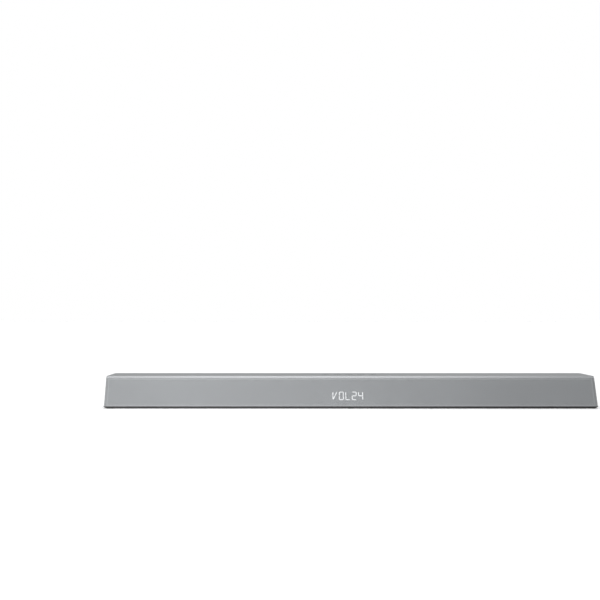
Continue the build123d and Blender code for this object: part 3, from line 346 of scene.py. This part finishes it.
# %% [markdown]
# ## Micro-perforated metal
# The grille is a painted sheet with a hole of about half a millimetre every 1.2 mm, in staggered rows, and
# a plain margin round its edge. That is tens of thousands of holes, far too many to cut one by one, so the
# rows are drawn by the material: the nearest point of a staggered lattice is found with a little
# arithmetic, and what lies within a hole's radius of it turns dark and sinks in.

# %% Micro-perforated metal
HOLE_PITCH = 1.2 * MM
HOLE_RADIUS = 0.25 * MM
HOLE_RIM = 0.12 * MM
MARGIN = 3.2 * MM
grille_half = (grille_high.x - grille_low.x) / 2


def grille_holes(finish):
    """1 inside a hole of the staggered rows, 0 on the metal, and 0 all over the plain margin."""
    lay_flat = lean_back - math.pi / 2
    flat = finish.stretched((1, 1, 1), (lay_flat, 0, 0))
    x, rise, _ = finish.axes(flat)
    row_step = HOLE_PITCH * math.sqrt(3)
    distance = None
    for shift in (0.0, 0.5):
        across = (finish.maths("FRACT", x / HOLE_PITCH + shift) - 0.5) * HOLE_PITCH
        along = (finish.maths("FRACT", rise / row_step + shift) - 0.5) * row_step
        here = finish.maths("SQRT", across * across + along * along)
        distance = here if distance is None else finish.maths("MINIMUM", distance, here)
    hole = finish.maths("SMOOTH_MIN", (HOLE_RADIUS - distance) / HOLE_RIM + 0.5, 1.0, 0.1)
    hole = finish.maths("MAXIMUM", hole, 0.0)
    inside = finish.near(x, 0.0, grille_half - MARGIN)
    low = (Matrix.Rotation(lay_flat, 3, "X") @ foot_of_face).y
    above = rise > (low + MARGIN)
    below = rise < (low + face_run - MARGIN)
    return hole * inside * above * below


def perforated_metal():
    finish = Finish("perforated_silver_metal", Specular_IOR_Level=0.5)
    holes = grille_holes(finish)
    flakes = finish.noise(2400, 2.0, 0.6)
    drift = finish.noise(7, 3.0)
    tone = finish.ramp(flakes * 0.5 + drift * 0.5, (0.3, 0.0), (0.7, 1.0))
    metal = finish.between(tone, grey(0.355, -0.025), grey(0.390, -0.03))
    finish.drive(Base_Color=finish.between(holes, metal, grey(0.02)))
    finish.drive(Metallic=0.5 - holes * 0.5, Roughness=drift * 0.08 + flakes * 0.05 + 0.33 + holes * 0.4)
    finish.bump(flakes * 0.04 - holes, 0.35, 0.15 * MM)
    return finish.material


grille_metal = perforated_metal()
print("made", grille_metal.name)

# %% [markdown]
# ## The grille panel
# The real panel is a rolled sheet with a soft edge all round. It is modelled flat: a thin block, a margin
# inset on its front face, the field inside the margin sunk by a hair, and every edge rounded. Then the
# whole panel is carried onto the leaning face.

# %% The grille panel
SHEET = 1.0 * MM
FIELD_SUNK = 0.12 * MM
PANEL_ROUND = 0.25 * MM
panel_size = (2 * grille_half, face_run, SHEET)
panel = slab("grille_panel", panel_size, (0, face_run / 2, -SHEET / 2))
pick(panel, "FACE", lambda middle, face: face.normal.z > 0.9)
bpy.ops.mesh.inset(thickness=MARGIN, depth=0)
bpy.ops.mesh.inset(thickness=PANEL_ROUND, depth=-FIELD_SUNK)
bpy.ops.object.mode_set(mode="OBJECT")
bevel_all(panel, PANEL_ROUND, 3)
settle(panel, on_face)
finish_with(panel, grille_metal)
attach(panel, "cabinet")
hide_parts("front_grille")
print("panel faces", len(panel.data.polygons))

# %% [markdown]
# ## The readout
# Behind the grille a row of light segments shines through the tiny holes, so a lit stroke looks like a
# group of bright dots. Each character is drawn on a grid of three by three points, in the manner of a
# fourteen segment display. It says VOL24, which is only a volume level. Strokes differ in length, so a
# copied bar would have to be stretched and its cut corners with it; instead one function models a bar at
# the length it is given, and another turns it and lays it in place.

# %% Strokes of the readout
guide_low, guide_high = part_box("display_light_guide")
CHARACTER = (7.9 * MM, 15.6 * MM)
PITCH = 12.8 * MM
STROKE = 1.7 * MM
STROKE_HEIGHT = 0.12 * MM
STROKE_GAP = STROKE * 0.25
CORNER_CUT = STROKE * 0.42
readout_x = (guide_low.x + guide_high.x) / 2
readout_rise = ((guide_low + guide_high) / 2 - foot_of_face).dot(up_slope)
GLYPHS = {
    "V": [((0, 2), (0, 1)), ((0, 1), (0, 0)), ((0, 0), (1, 1)), ((1, 1), (2, 2))],
    "O": [
        ((0, 0), (0, 1)), ((0, 1), (0, 2)), ((0, 2), (2, 2)),
        ((2, 2), (2, 1)), ((2, 1), (2, 0)), ((0, 0), (2, 0)),
    ],
    "L": [((0, 2), (0, 1)), ((0, 1), (0, 0)), ((0, 0), (2, 0))],
    "2": [((0, 2), (2, 2)), ((2, 2), (2, 1)), ((0, 1), (2, 1)), ((0, 1), (0, 0)), ((0, 0), (2, 0))],
    "4": [((0, 2), (0, 1)), ((0, 1), (2, 1)), ((2, 2), (2, 1)), ((2, 1), (2, 0))],
}


def stroke_bar(length):
    """A thin bar along X whose four corners are cut."""
    bar = slab("stroke", (length, STROKE, STROKE_HEIGHT), (0, 0, STROKE_HEIGHT / 2))
    pick(bar, "EDGE", lambda middle, edge: abs(middle.x) > length * 0.49 and abs(middle.y) > STROKE * 0.49)
    bpy.ops.mesh.bevel(offset=CORNER_CUT, segments=1)
    bpy.ops.object.mode_set(mode="OBJECT")
    return bar


def place_stroke(character, start, stop):
    """Lays a bar between two grid points of one of the five characters."""
    middle = readout_x + (character - 2) * PITCH
    ends = [
        Vector((middle + (column - 1) * CHARACTER[0] / 2, readout_rise + (row - 1) * CHARACTER[1] / 2, 0))
        for column, row in (start, stop)
    ]
    run = ends[1] - ends[0]
    bar = stroke_bar(run.length - STROKE_GAP)
    bar.location = (ends[0] + ends[1]) / 2
    bar.rotation_euler.z = math.atan2(run.y, run.x)
    return settle(bar)


strokes = [place_stroke(i, *ends) for i, letter in enumerate("VOL24") for ends in GLYPHS[letter]]
readout = settle(join("readout_strokes", strokes), on_face)
print("strokes", len(strokes), "centre", round(readout_x * 1000, 1), round(readout_rise * 1000, 1))

# %% [markdown]
# The strokes lie on the grille and repeat its rows of holes, with the light in the holes. Only the colour
# of the light changes over the surface, and its strength is one number on the shader.

# %% Light through the holes
def lit_holes():
    finish = Finish("lit_segment", Specular_IOR_Level=0.4, Emission_Strength=0.6)
    holes = grille_holes(finish)
    drift = finish.noise(240, 2.0)
    glow = finish.ramp(drift, (0.3, 0.82), (0.7, 1.0))
    light = finish.between(holes, (0.42, 0.44, 0.47), (1.0, 1.0, 1.0))
    finish.drive(Base_Color=finish.between(holes, grey(0.38), grey(0.62)))
    finish.drive(Emission_Color=finish.between(glow, (0.3, 0.32, 0.35), light))
    finish.drive(Roughness=0.45 + holes * 0.2)
    finish.bump(0 - holes, 0.2, 0.1 * MM)
    return finish.material


finish_with(readout, lit_holes())
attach(readout, "cabinet")
print("readout faces", len(readout.data.polygons))

# %% [markdown]
# ## Marks on the keys
# Each key carries a small printed mark that says what it does. A mark could be painted by the material,
# but as thin geometry its edges stay sharp from close by: an arc is a small square spun round a point, and
# a bar is a thin block with rounded edges. Each mark rides on its own key, so it goes down when the key is
# pressed.

# %% Marks on the keys
MARK = 0.7 * MM
MARK_HEIGHT = 0.08 * MM
ARC_STEPS = 28


def mark_bar(x, y, length, turn=0.0):
    """A bar round (x, y), turned by some degrees."""
    bar = slab("mark", (length, MARK, MARK_HEIGHT), (0, 0, MARK_HEIGHT / 2))
    bevel_all(bar, MARK_HEIGHT * 0.4, 1)
    bar.location = (x, y, 0)
    bar.rotation_euler.z = math.radians(turn)
    return settle(bar)


def mark_arc(radius, first, sweep, y=0.0):
    """Part of a ring: a small square spun counter-clockwise from its first angle through a sweep."""
    arc = slab("mark", (MARK, MARK_HEIGHT * 0.01, MARK_HEIGHT), (radius, 0, MARK_HEIGHT / 2))
    pick(arc, "FACE", lambda middle, face: face.normal.y < 0.9)
    bpy.ops.mesh.delete(type="FACE")
    bpy.ops.mesh.select_all(action="SELECT")
    # The Spin tool turns clockwise round its axis, so the axis points down.
    bpy.ops.mesh.spin(steps=ARC_STEPS, angle=math.radians(sweep), center=(0, 0, 0), axis=(0, 0, -1))
    bpy.ops.mesh.select_all(action="SELECT")
    bpy.ops.mesh.remove_doubles(threshold=1e-7)
    bpy.ops.mesh.normals_make_consistent(inside=False)
    bpy.ops.object.mode_set(mode="OBJECT")
    arc.rotation_euler.z = math.radians(first)
    arc.location = (0, y, 0)
    return settle(arc)


def key_marks():
    """The strokes of every mark, round each key's own centre."""
    return {
        "power": [mark_arc(2.1 * MM, 125, 290), mark_bar(0, 1.8 * MM, 2.2 * MM, 90)],
        "source": [
            mark_arc(2.2 * MM, -125, 250), mark_bar(-2.1 * MM, 0, 3.6 * MM),
            mark_bar(-0.85 * MM, 0.45 * MM, 1.7 * MM, -45), mark_bar(-0.85 * MM, -0.45 * MM, 1.7 * MM, 45),
        ],
        "volume_down": [mark_bar(0, 0, 3.8 * MM)],
        "volume_up": [mark_bar(0, 0, 3.8 * MM), mark_bar(0, 0, 3.8 * MM, 90)],
        "pairing": [
            mark_bar(0, -1.7 * MM, 1.0 * MM), mark_arc(1.6 * MM, 45, 90, y=-1.5 * MM),
            mark_arc(3.2 * MM, 45, 90, y=-1.5 * MM),
        ],
    }


def print_ink():
    finish = Finish("mark_print", Specular_IOR_Level=0.3)
    wear = finish.noise(1800, 3.0)
    finish.drive(Base_Color=finish.between(wear, grey(0.045), grey(0.10)), Roughness=wear * 0.25 + 0.4)
    finish.bump(wear, 0.1, 0.02 * MM)
    return finish.material


ink = print_ink()
for key, bars in key_marks().items():
    low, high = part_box("key_" + key)
    mark = join("mark_" + key, bars)
    settle(mark, Matrix.Translation(((low.x + high.x) / 2, (low.y + high.y) / 2, high.z)))
    finish_with(mark, ink)
    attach(mark, "key_" + key)

# %% [markdown]
# ## Moulded plastics and rubber
# A moulded part takes the texture of its steel mould: a fine pebble left by spark erosion, a little dull
# where it was cut deep and a little shiny where it is handled. One helper makes that pebble from noise of
# two sizes, and each plastic or rubber only chooses its colour, its grain and its gloss.

# %% Moulded plastics and rubber
def moulded(name, dark, light, grain, depth, gloss, spread=0.15):
    """A pebbled finish: grain in pebbles per metre, depth in millimetres."""
    finish = Finish(name)
    pebble = finish.cells(grain) * 0.6 + finish.noise(grain * 1.7, 2.0) * 0.4
    handled = finish.noise(14, 4.0, 0.6)
    tone = finish.ramp(handled * 0.6 + pebble * 0.4, (0.25, 0.0), (0.75, 1.0))
    finish.drive(Base_Color=finish.between(tone, dark, light))
    finish.drive(Roughness=handled * spread + pebble * 0.1 + gloss)
    finish.bump(pebble, 0.45, depth * MM)
    return finish.material


MOULDED = {
    "black_body": moulded("black_textured_plastic", grey(0.046), grey(0.064), 1500, 0.06, 0.46, 0.14),
    "baffle_board": moulded("baffle_plastic", grey(0.020), grey(0.034), 1100, 0.05, 0.5),
    "tweeter_plastic": moulded("tweeter_plastic", grey(0.014), grey(0.024), 1900, 0.03, 0.36),
    "shutter_plastic": moulded("shutter_plastic", grey(0.02), grey(0.04), 2400, 0.02, 0.34),
    "foot_rubber": moulded("foot_rubber", grey(0.012), grey(0.028), 900, 0.08, 0.68),
    "surround_rubber": moulded("surround_rubber", grey(0.010), grey(0.022), 2200, 0.02, 0.5),
    "gasket_foam": moulded("gasket_foam", grey(0.025), grey(0.06), 1300, 0.25, 0.85, 0.08),
}
print("moulded finishes", len(MOULDED))

# %% [markdown]
# ## Sockets
# A flat socket is a folded shell of nickel-plated steel round a black plastic tongue. The frame holds the
# two as one solid, so the material tells them apart by place: what lies inside the tongue's block turns
# black and stops being metal. The mains inlet's pins and the ring of the round jack are found in the
# same way, on their black housings.

# %% Sockets
TONGUES = {
    "hdmi_in_socket": (10.4 * MM, 1.0 * MM),
    "hdmi_out_socket": (10.4 * MM, 1.0 * MM),
    "usb_socket": (11.0 * MM, 1.9 * MM),
}
TONGUE_SET_IN = 1.5 * MM
TONGUE_LENGTH = 7.5 * MM
PIN_PITCH = 8.6 * MM
PIN_RADIUS = 1.2 * MM
JACK_RING = 2.7 * MM
JACK_RING_DEPTH = 0.2 * MM
HAIR = 0.05 * MM    # a colour changes this far outside the surface it belongs to


def plated_shell():
    finish = Finish("nickel_plated_shell")
    x, y, z = finish.axes()
    tongues = 0
    for node, (width, thick) in TONGUES.items():
        low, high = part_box(node)
        middle = (low + high) / 2
        depth_middle = high.y - TONGUE_SET_IN - TONGUE_LENGTH / 2
        across = finish.near(x, middle.x, width / 2 + HAIR)
        deep = finish.near(y, depth_middle, TONGUE_LENGTH / 2 + HAIR)
        tongues = across * deep * finish.near(z, middle.z, thick / 2 + HAIR) + tongues
    marks = finish.noise(1600, 3.0, 0.6, finish.stretched((1, 0.1, 1)))
    plating = finish.between(marks, (0.50, 0.48, 0.45), (0.68, 0.66, 0.62))
    finish.drive(Base_Color=finish.between(tongues, plating, grey(0.014)), Metallic=1 - tongues)
    finish.drive(Roughness=marks * 0.18 + tongues * 0.2 + 0.2)
    finish.bump(marks, 0.25, 0.02 * MM)
    return finish.material


def socket_housing():
    finish = Finish("socket_plastic")
    x, y, z = finish.axes()
    low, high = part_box("ac_inlet")
    inlet = (low + high) / 2
    plated = 0
    for side in (-1, 1):
        across = x - (inlet.x + side * PIN_PITCH / 2)
        rise = z - inlet.z
        plated = (across * across + rise * rise < (PIN_RADIUS + HAIR) ** 2) + plated
    low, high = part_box("aux_socket")
    across = x - (low.x + high.x) / 2
    rise = z - (low.z + high.z) / 2
    at_mouth = finish.near(y, high.y, JACK_RING_DEPTH)
    plated = (across * across + rise * rise < JACK_RING ** 2) * at_mouth + plated
    grain = finish.cells(2600) * 0.6 + finish.noise(4400, 2.0) * 0.4
    plastic = finish.between(grain, grey(0.012), grey(0.022))
    metal_tone = finish.between(grain, (0.56, 0.54, 0.50), (0.68, 0.66, 0.62))
    finish.drive(Base_Color=finish.between(plated, plastic, metal_tone), Metallic=plated)
    finish.drive(Roughness=grain * 0.15 + 0.3)
    finish.bump(grain, 0.3, 0.02 * MM)
    return finish.material


SOCKETS = {"socket_metal": plated_shell(), "socket_plastic": socket_housing()}
print("socket finishes", len(SOCKETS))

# %% [markdown]
# ## Metals
# Pressed steel, plated motors, an extruded heat sink and brass inserts differ in colour and in the way
# their marks run. A mark is noise that is stretched along the direction in which the metal was rolled,
# drawn or turned, so one helper stretches the same noise by a different amount for each metal.

# %% Metals
def metal(name, dark, light, stretch, grain, gloss):
    """Bare metal whose marks are finer along the axes with a larger stretch."""
    finish = Finish(name, Metallic=1.0)
    marks = finish.noise(grain, 3.0, 0.6, finish.stretched(stretch))
    cloud = finish.noise(60, 3.0)
    tarnish = finish.ramp(cloud * 0.6 + marks * 0.4, (0.3, 0.0), (0.72, 1.0))
    finish.drive(Base_Color=finish.between(tarnish, dark, light))
    finish.drive(Roughness=gloss + marks * 0.16 + cloud * 0.08)
    finish.bump(marks, 0.25, 0.02 * MM)
    return finish.material


METALS = {
    "basket_metal": metal("pressed_basket_steel", grey(0.10), grey(0.17), (1, 1, 1), 700, 0.42),
    "motor_steel": metal("plated_motor_steel", grey(0.34), grey(0.52, 0.02), (1, 1, 1), 500, 0.3),
    "heat_sink_aluminium": metal("extruded_aluminium", grey(0.52), grey(0.68), (0.04, 1, 1), 1800, 0.28),
    "shield_can": metal("tinned_shield_steel", grey(0.50, 0.01), grey(0.66), (1, 0.08, 1), 1500, 0.24),
    "screw_steel": metal("blackened_screw_steel", grey(0.05), grey(0.12), (1, 1, 1), 2400, 0.3),
    "insert_brass": metal("turned_brass", (0.55, 0.37, 0.13), (0.76, 0.55, 0.23), (1, 0.06, 1), 2600, 0.25),
}
print("metals", len(METALS))

# %% [markdown]
# ## Contacts in the sockets
# Every tongue carries a row of gold-plated springs. A finger is a thin bar with rounded edges: one is
# modelled and copied along the tongue, nine for a picture socket and four for the data socket. The rows
# take their places from the sockets' own boxes.

# %% Contacts in the sockets
FINGER = (0.5 * MM, 5.0 * MM, 0.12 * MM)
FINGER_SET_IN = 2.0 * MM
FINGERS = {"hdmi_in_socket": (9, 1.05 * MM), "hdmi_out_socket": (9, 1.05 * MM), "usb_socket": (4, 2.4 * MM)}
first = slab("finger", FINGER, (0, -FINGER_SET_IN - FINGER[1] / 2, FINGER[2] / 2))
bevel_all(first, FINGER[2] * 0.4, 1)
fingers = []
for node, (count, pitch) in FINGERS.items():
    low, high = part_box(node)
    above = (low.z + high.z) / 2 + TONGUES[node][1] / 2
    for i in range(count):
        finger = first.copy()
        finger.data = first.data.copy()
        bpy.context.scene.collection.objects.link(finger)
        across = (low.x + high.x) / 2 + (i - (count - 1) / 2) * pitch
        finger.data.transform(Matrix.Translation((across, high.y, above)))
        fingers.append(finger)
bpy.data.objects.remove(first)
contacts = join("socket_contacts", fingers)
finish_with(contacts, METALS["insert_brass"])
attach(contacts, "cabinet")
print("fingers", len(fingers))

# %% [markdown]
# ## Paper, silk and cloth
# A woofer's cone is felted paper, so its colour and bump follow short fibres that lie every way. A
# tweeter's dome and the scrim behind the grille are woven, and a weave is two sets of waves that cross.
# The Wave Texture could draw them, but sines of the coordinates keep the thread count exact.

# %% Paper, silk and cloth
def felted_paper():
    finish = Finish("felted_cone_paper", Specular_IOR_Level=0.25)
    one_way = finish.noise(1900, 3.0, 0.6, finish.stretched((1, 0.25, 0.25), (0, 0.5, 0)))
    other_way = finish.noise(1900, 3.0, 0.6, finish.stretched((0.25, 1, 1), (0, -0.6, 0)))
    fibres = finish.maths("MAXIMUM", one_way, other_way)
    tone = finish.ramp(fibres, (0.45, 0.0), (0.8, 1.0))
    finish.drive(Base_Color=finish.between(tone, grey(0.020), grey(0.048, 0.03)))
    finish.drive(Roughness=fibres * 0.3 + 0.55)
    finish.bump(fibres, 0.5, 0.08 * MM)
    return finish.material


def woven(name, dark, light, thread, gloss):
    """Two crossing sets of threads, thread metres apart."""
    finish = Finish(name, Specular_IOR_Level=0.3, Sheen_Weight=0.3)
    x, y, z = finish.axes()
    turn = 2 * math.pi / thread
    over = finish.maths("SINE", x * turn)
    under = finish.maths("SINE", (y + z) * turn)
    weave = over * under * 0.5 + 0.5
    fuzz = finish.noise(2200, 3.0)
    tone = finish.ramp(weave * 0.7 + fuzz * 0.3, (0.2, 0.0), (0.8, 1.0))
    finish.drive(Base_Color=finish.between(tone, dark, light), Roughness=fuzz * 0.2 + gloss)
    finish.bump(weave, 0.5, 0.06 * MM)
    return finish.material


CLOTH = {
    "cone": felted_paper(),
    "dome_silk": woven("woven_dome_silk", grey(0.02), grey(0.06), 0.45 * MM, 0.45),
    "scrim_cloth": woven("scrim_cloth", grey(0.008), grey(0.03), 0.7 * MM, 0.75),
}
print("paper and cloth", len(CLOTH))

# %% [markdown]
# ## Boards, coils and leads
# A circuit board is dark green lacquer over copper: the tracks show as slightly raised, lighter lines that
# run square to one another, with round pads. Distorted stripes in two directions make believable tracks.
# A ribbon cable has one groove for each conductor, with painted shade darkening each groove and a painted
# highlight lightening each conductor's ridge; a transformer is wrapped in tape, and a capacitor has a printed
# stripe down its sleeve.

# %% Boards, coils and leads
TRACK_PITCH = 1.6 * MM
CORE_PITCH = 1.27 * MM
TAPE_WIDTH = 4.2 * MM
STRIPE_PITCH = 9 * MM
WIRE_LAY = 14 * MM


def circuit_board():
    finish = Finish("lacquered_circuit_board", Specular_IOR_Level=0.5, Coat_Weight=0.4, Coat_Roughness=0.15)
    x, y, z = finish.axes()
    choice = finish.noise(45, 0.0) > 0.5
    wander = finish.maths("SNAP", finish.noise(70, 1.0) * 12 * MM, 1.5 * MM)
    lanes = finish.maths("FRACT", (x * choice + (y + z) * (1 - choice) + wander) / TRACK_PITCH)
    tracks = (lanes < 0.42) * (finish.noise(32, 0.0) > 0.44)
    pads = finish.cells(260) < 0.16
    copper = finish.maths("MAXIMUM", tracks, pads)
    lacquer = finish.between(finish.noise(30, 2.0), (0.004, 0.045, 0.016), (0.006, 0.065, 0.024))
    raised = finish.between(copper, lacquer, (0.012, 0.13, 0.045))
    finish.drive(Base_Color=finish.between(pads, raised, (0.62, 0.62, 0.6)))
    finish.drive(Roughness=0.34 + finish.noise(500, 2.0) * 0.12, Metallic=pads * 0.9)
    finish.bump(copper, 0.6, 0.05 * MM)
    return finish.material


def ribbon():
    finish = Finish("ribbon_cable_cores", Specular_IOR_Level=0.4)
    x, _, _ = finish.axes()
    # One sine raises a ridge over each conductor and also paints the grey: painted shade darker in each groove,
    # painted highlight lighter on each ridge.
    core_ridge_and_groove_shade = finish.maths("SINE", x * (2 * math.pi / CORE_PITCH)) * 0.5 + 0.5
    scuff = finish.noise(800, 3.0)
    finish.drive(Base_Color=finish.between(core_ridge_and_groove_shade, grey(0.20), grey(0.46)), Roughness=scuff * 0.2 + 0.4)
    finish.bump(core_ridge_and_groove_shade, 0.7, 0.25 * MM)
    return finish.material


def taped_transformer():
    finish = Finish("taped_transformer", Specular_IOR_Level=0.4)
    _, _, z = finish.axes()
    laps = finish.maths("FRACT", (z + finish.noise(35, 1.0) * 2 * MM) / TAPE_WIDTH)
    varnish = finish.noise(300, 3.0)
    tone = finish.ramp(laps * 0.4 + varnish * 0.6, (0.2, 0.0), (0.8, 1.0))
    tape = finish.between(tone, (0.30, 0.19, 0.018), (0.55, 0.38, 0.05))
    finish.drive(Base_Color=tape, Roughness=varnish * 0.25 + 0.25)
    finish.bump(laps, 0.5, 0.12 * MM)
    return finish.material


def sleeved_can():
    finish = Finish("sleeved_capacitor", Specular_IOR_Level=0.45)
    x, _, _ = finish.axes()
    stripe = finish.maths("FRACT", x / STRIPE_PITCH) < 0.22
    scuff = finish.noise(700, 3.0)
    sleeve = finish.between(scuff, (0.012, 0.014, 0.03), (0.022, 0.025, 0.05))
    finish.drive(Base_Color=finish.between(stripe, sleeve, grey(0.45)), Roughness=scuff * 0.2 + 0.28)
    finish.bump(scuff, 0.15, 0.03 * MM)
    return finish.material


def insulated_wire():
    finish = Finish("insulated_wire", Specular_IOR_Level=0.4)
    x, y, _ = finish.axes()
    lay = finish.maths("SINE", (x + y * 2) * (2 * math.pi / WIRE_LAY)) > 0
    scuff = finish.noise(900, 3.0)
    jacket = finish.between(lay, (0.30, 0.012, 0.010), (0.014, 0.014, 0.015))
    finish.drive(Base_Color=finish.between(scuff * 0.3, jacket, grey(0.12)), Roughness=scuff * 0.2 + 0.35)
    finish.bump(scuff, 0.2, 0.03 * MM)
    return finish.material


def smoked_guide():
    finish = Finish("smoked_light_guide", Specular_IOR_Level=0.5, Coat_Weight=0.5, Coat_Roughness=0.05)
    haze = finish.noise(120, 3.0)
    finish.drive(Base_Color=finish.between(haze, grey(0.10), grey(0.22)), Roughness=haze * 0.15 + 0.2)
    finish.bump(haze, 0.1, 0.05 * MM)
    return finish.material


ELECTRIC = {
    "circuit_board": circuit_board(),
    "ribbon_cable": ribbon(),
    "transformer_core": taped_transformer(),
    "capacitor_can": sleeved_can(),
    "wire": insulated_wire(),
    "readout_window": smoked_guide(),
}
print("electric finishes", len(ELECTRIC))

# %% [markdown]
# ## Dressing the frame
# The frame's record says which finish each node takes. A dictionary from finish name to material, and one
# loop over the record, dresses every node at once, and the print shows any node that was forgotten.

# %% Dress every node of the frame
finishes = {"silver_body": silver, "key_cap": key_silver, "grille_metal": grille_metal}
finishes |= MOULDED | SOCKETS | METALS | CLOTH | ELECTRIC
dressed = set()
for part in frame["record"]["subparts"]:
    for material_slot in nodes[part["node"]].material_slots:
        material_slot.material = finishes[part["material_slot"]]
    dressed.add(part["node"])
print("dressed", len(dressed), "forgotten", sorted(nodes.keys() - dressed))

# %% [markdown]
# ## Floor
# The bar stands on one wide pale plate, as on a roll of studio paper. It could be a bare plane, but a plate
# with rounded edges catches light as paper does, and a faint grain keeps it from looking empty.

# %% Floor
FLOOR_SIZE = (30, 30, 0.02)
floor = slab("floor", FLOOR_SIZE, (0, 3, -FLOOR_SIZE[2] / 2))
bevel_all(floor, 2 * MM, 1)
floor_paint = Finish("floor_paper", Specular_IOR_Level=0.2)
paper = floor_paint.noise(180, 3.0)
floor_paint.drive(Base_Color=floor_paint.between(paper, grey(0.93), grey(0.96)))
floor_paint.drive(Roughness=0.7 + paper * 0.1)
finish_with(floor, floor_paint.material)
floor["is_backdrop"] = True
print("floor", tuple(round(v, 2) for v in floor.dimensions))

# %% [markdown]
# ## Studio light
# The room is a soft gradient, dim near the ground and lighter above, which gives the silver something calm
# to reflect; the camera itself sees a white card instead. A broad sun from above and a little behind
# lights the top, whitens the floor evenly and puts the bright line on the front bevel. A soft lamp from
# the left makes the front fall from light to dark along its length. It is left out of reflections, where
# its square shape would show on the satin top.

# %% Studio light
BRIGHT_FROM = 0.7
DIM = 0.25
BRIGHT = 0.62
world = bpy.data.worlds.new("studio")
bpy.context.scene.world = world
world.use_nodes = True
world_tree = world.node_tree
world_tree.nodes.clear()


def world_node(kind, *inputs):
    """Adds a node to the world and links or sets its sockets in order."""
    node = world_tree.nodes.new(kind)
    for socket, value in zip(node.inputs, inputs):
        if isinstance(value, bpy.types.NodeSocket):
            world_tree.links.new(value, socket)
        else:
            socket.default_value = value
    return node


direction = world_node("ShaderNodeSeparateXYZ", world_node("ShaderNodeTexCoord").outputs["Generated"])
height = world_node("ShaderNodeMapRange", direction.outputs["Z"], 0.0, BRIGHT_FROM, DIM, BRIGHT)
soft_room = world_node("ShaderNodeBackground", (0.98, 0.99, 1.0, 1), height.outputs[0])
white_card = world_node("ShaderNodeBackground", (1, 1, 1, 1), 1.0)
seen = world_node("ShaderNodeLightPath").outputs["Is Camera Ray"]
either = world_node("ShaderNodeMixShader", seen, soft_room.outputs[0], white_card.outputs[0])
world_node("ShaderNodeOutputWorld", either.outputs[0])
bpy.context.scene.view_settings.view_transform = "Standard"


def lamp(name, kind, energy, place, target, reflected, **settings):
    """Adds a lamp that points from its place to a target; reflected says whether gloss shows it."""
    data = bpy.data.lights.new(name, kind)
    data.energy = energy
    for key, value in settings.items():
        setattr(data, key, value)
    light = bpy.data.objects.new(name, data)
    bpy.context.scene.collection.objects.link(light)
    light.location = place
    light.visible_camera = False
    light.visible_glossy = reflected
    light.rotation_euler = (Vector(place) - Vector(target)).to_track_quat("Z", "Y").to_euler()
    return light


lamps = [
    lamp("sky_sun", "SUN", 1.95, (0, 0.6, 2.2), (0, 0, 0), True, angle=math.radians(40)),
    lamp(
        "left_softbox", "AREA", 3.75, (-0.55, -1.4, 0.2), (-0.27, 0, 0.03), False,
        shape="SQUARE", size=0.6, spread=math.radians(64),
    ),
]
print("lamps", [light.name for light in lamps])

# %% [markdown]
# ## Camera
# The camera stands level and low, a little to the left of the middle, so that the top shows as a thin band.
# It isn't tilted; a small shift of the lens moves the frame up instead, and upright edges stay upright.

# %% Camera
camera_data = bpy.data.cameras.new("camera")
camera = bpy.data.objects.new("camera", camera_data)
bpy.context.scene.collection.objects.link(camera)
bpy.context.scene.camera = camera
camera.location = (-0.1186, -1.6725, 0.1875)
camera.rotation_euler = (math.radians(90), 0, 0)
camera_data.sensor_width = 36
camera_data.lens = 49.1
camera_data.shift_x = 0.015
camera_data.shift_y = 0.0233
print("camera at", tuple(round(v, 3) for v in camera.location))

# %% [markdown]
# The box of the dressed model is written beside the box of the frame, so that the two can be compared.

# %% Measure and finish
dressed_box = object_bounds()
growth = (*(dressed_box[0] - cad_box[0]), *(dressed_box[1] - cad_box[1]))
print("grew by", [round(v * 1000, 2) for v in growth], "mm")
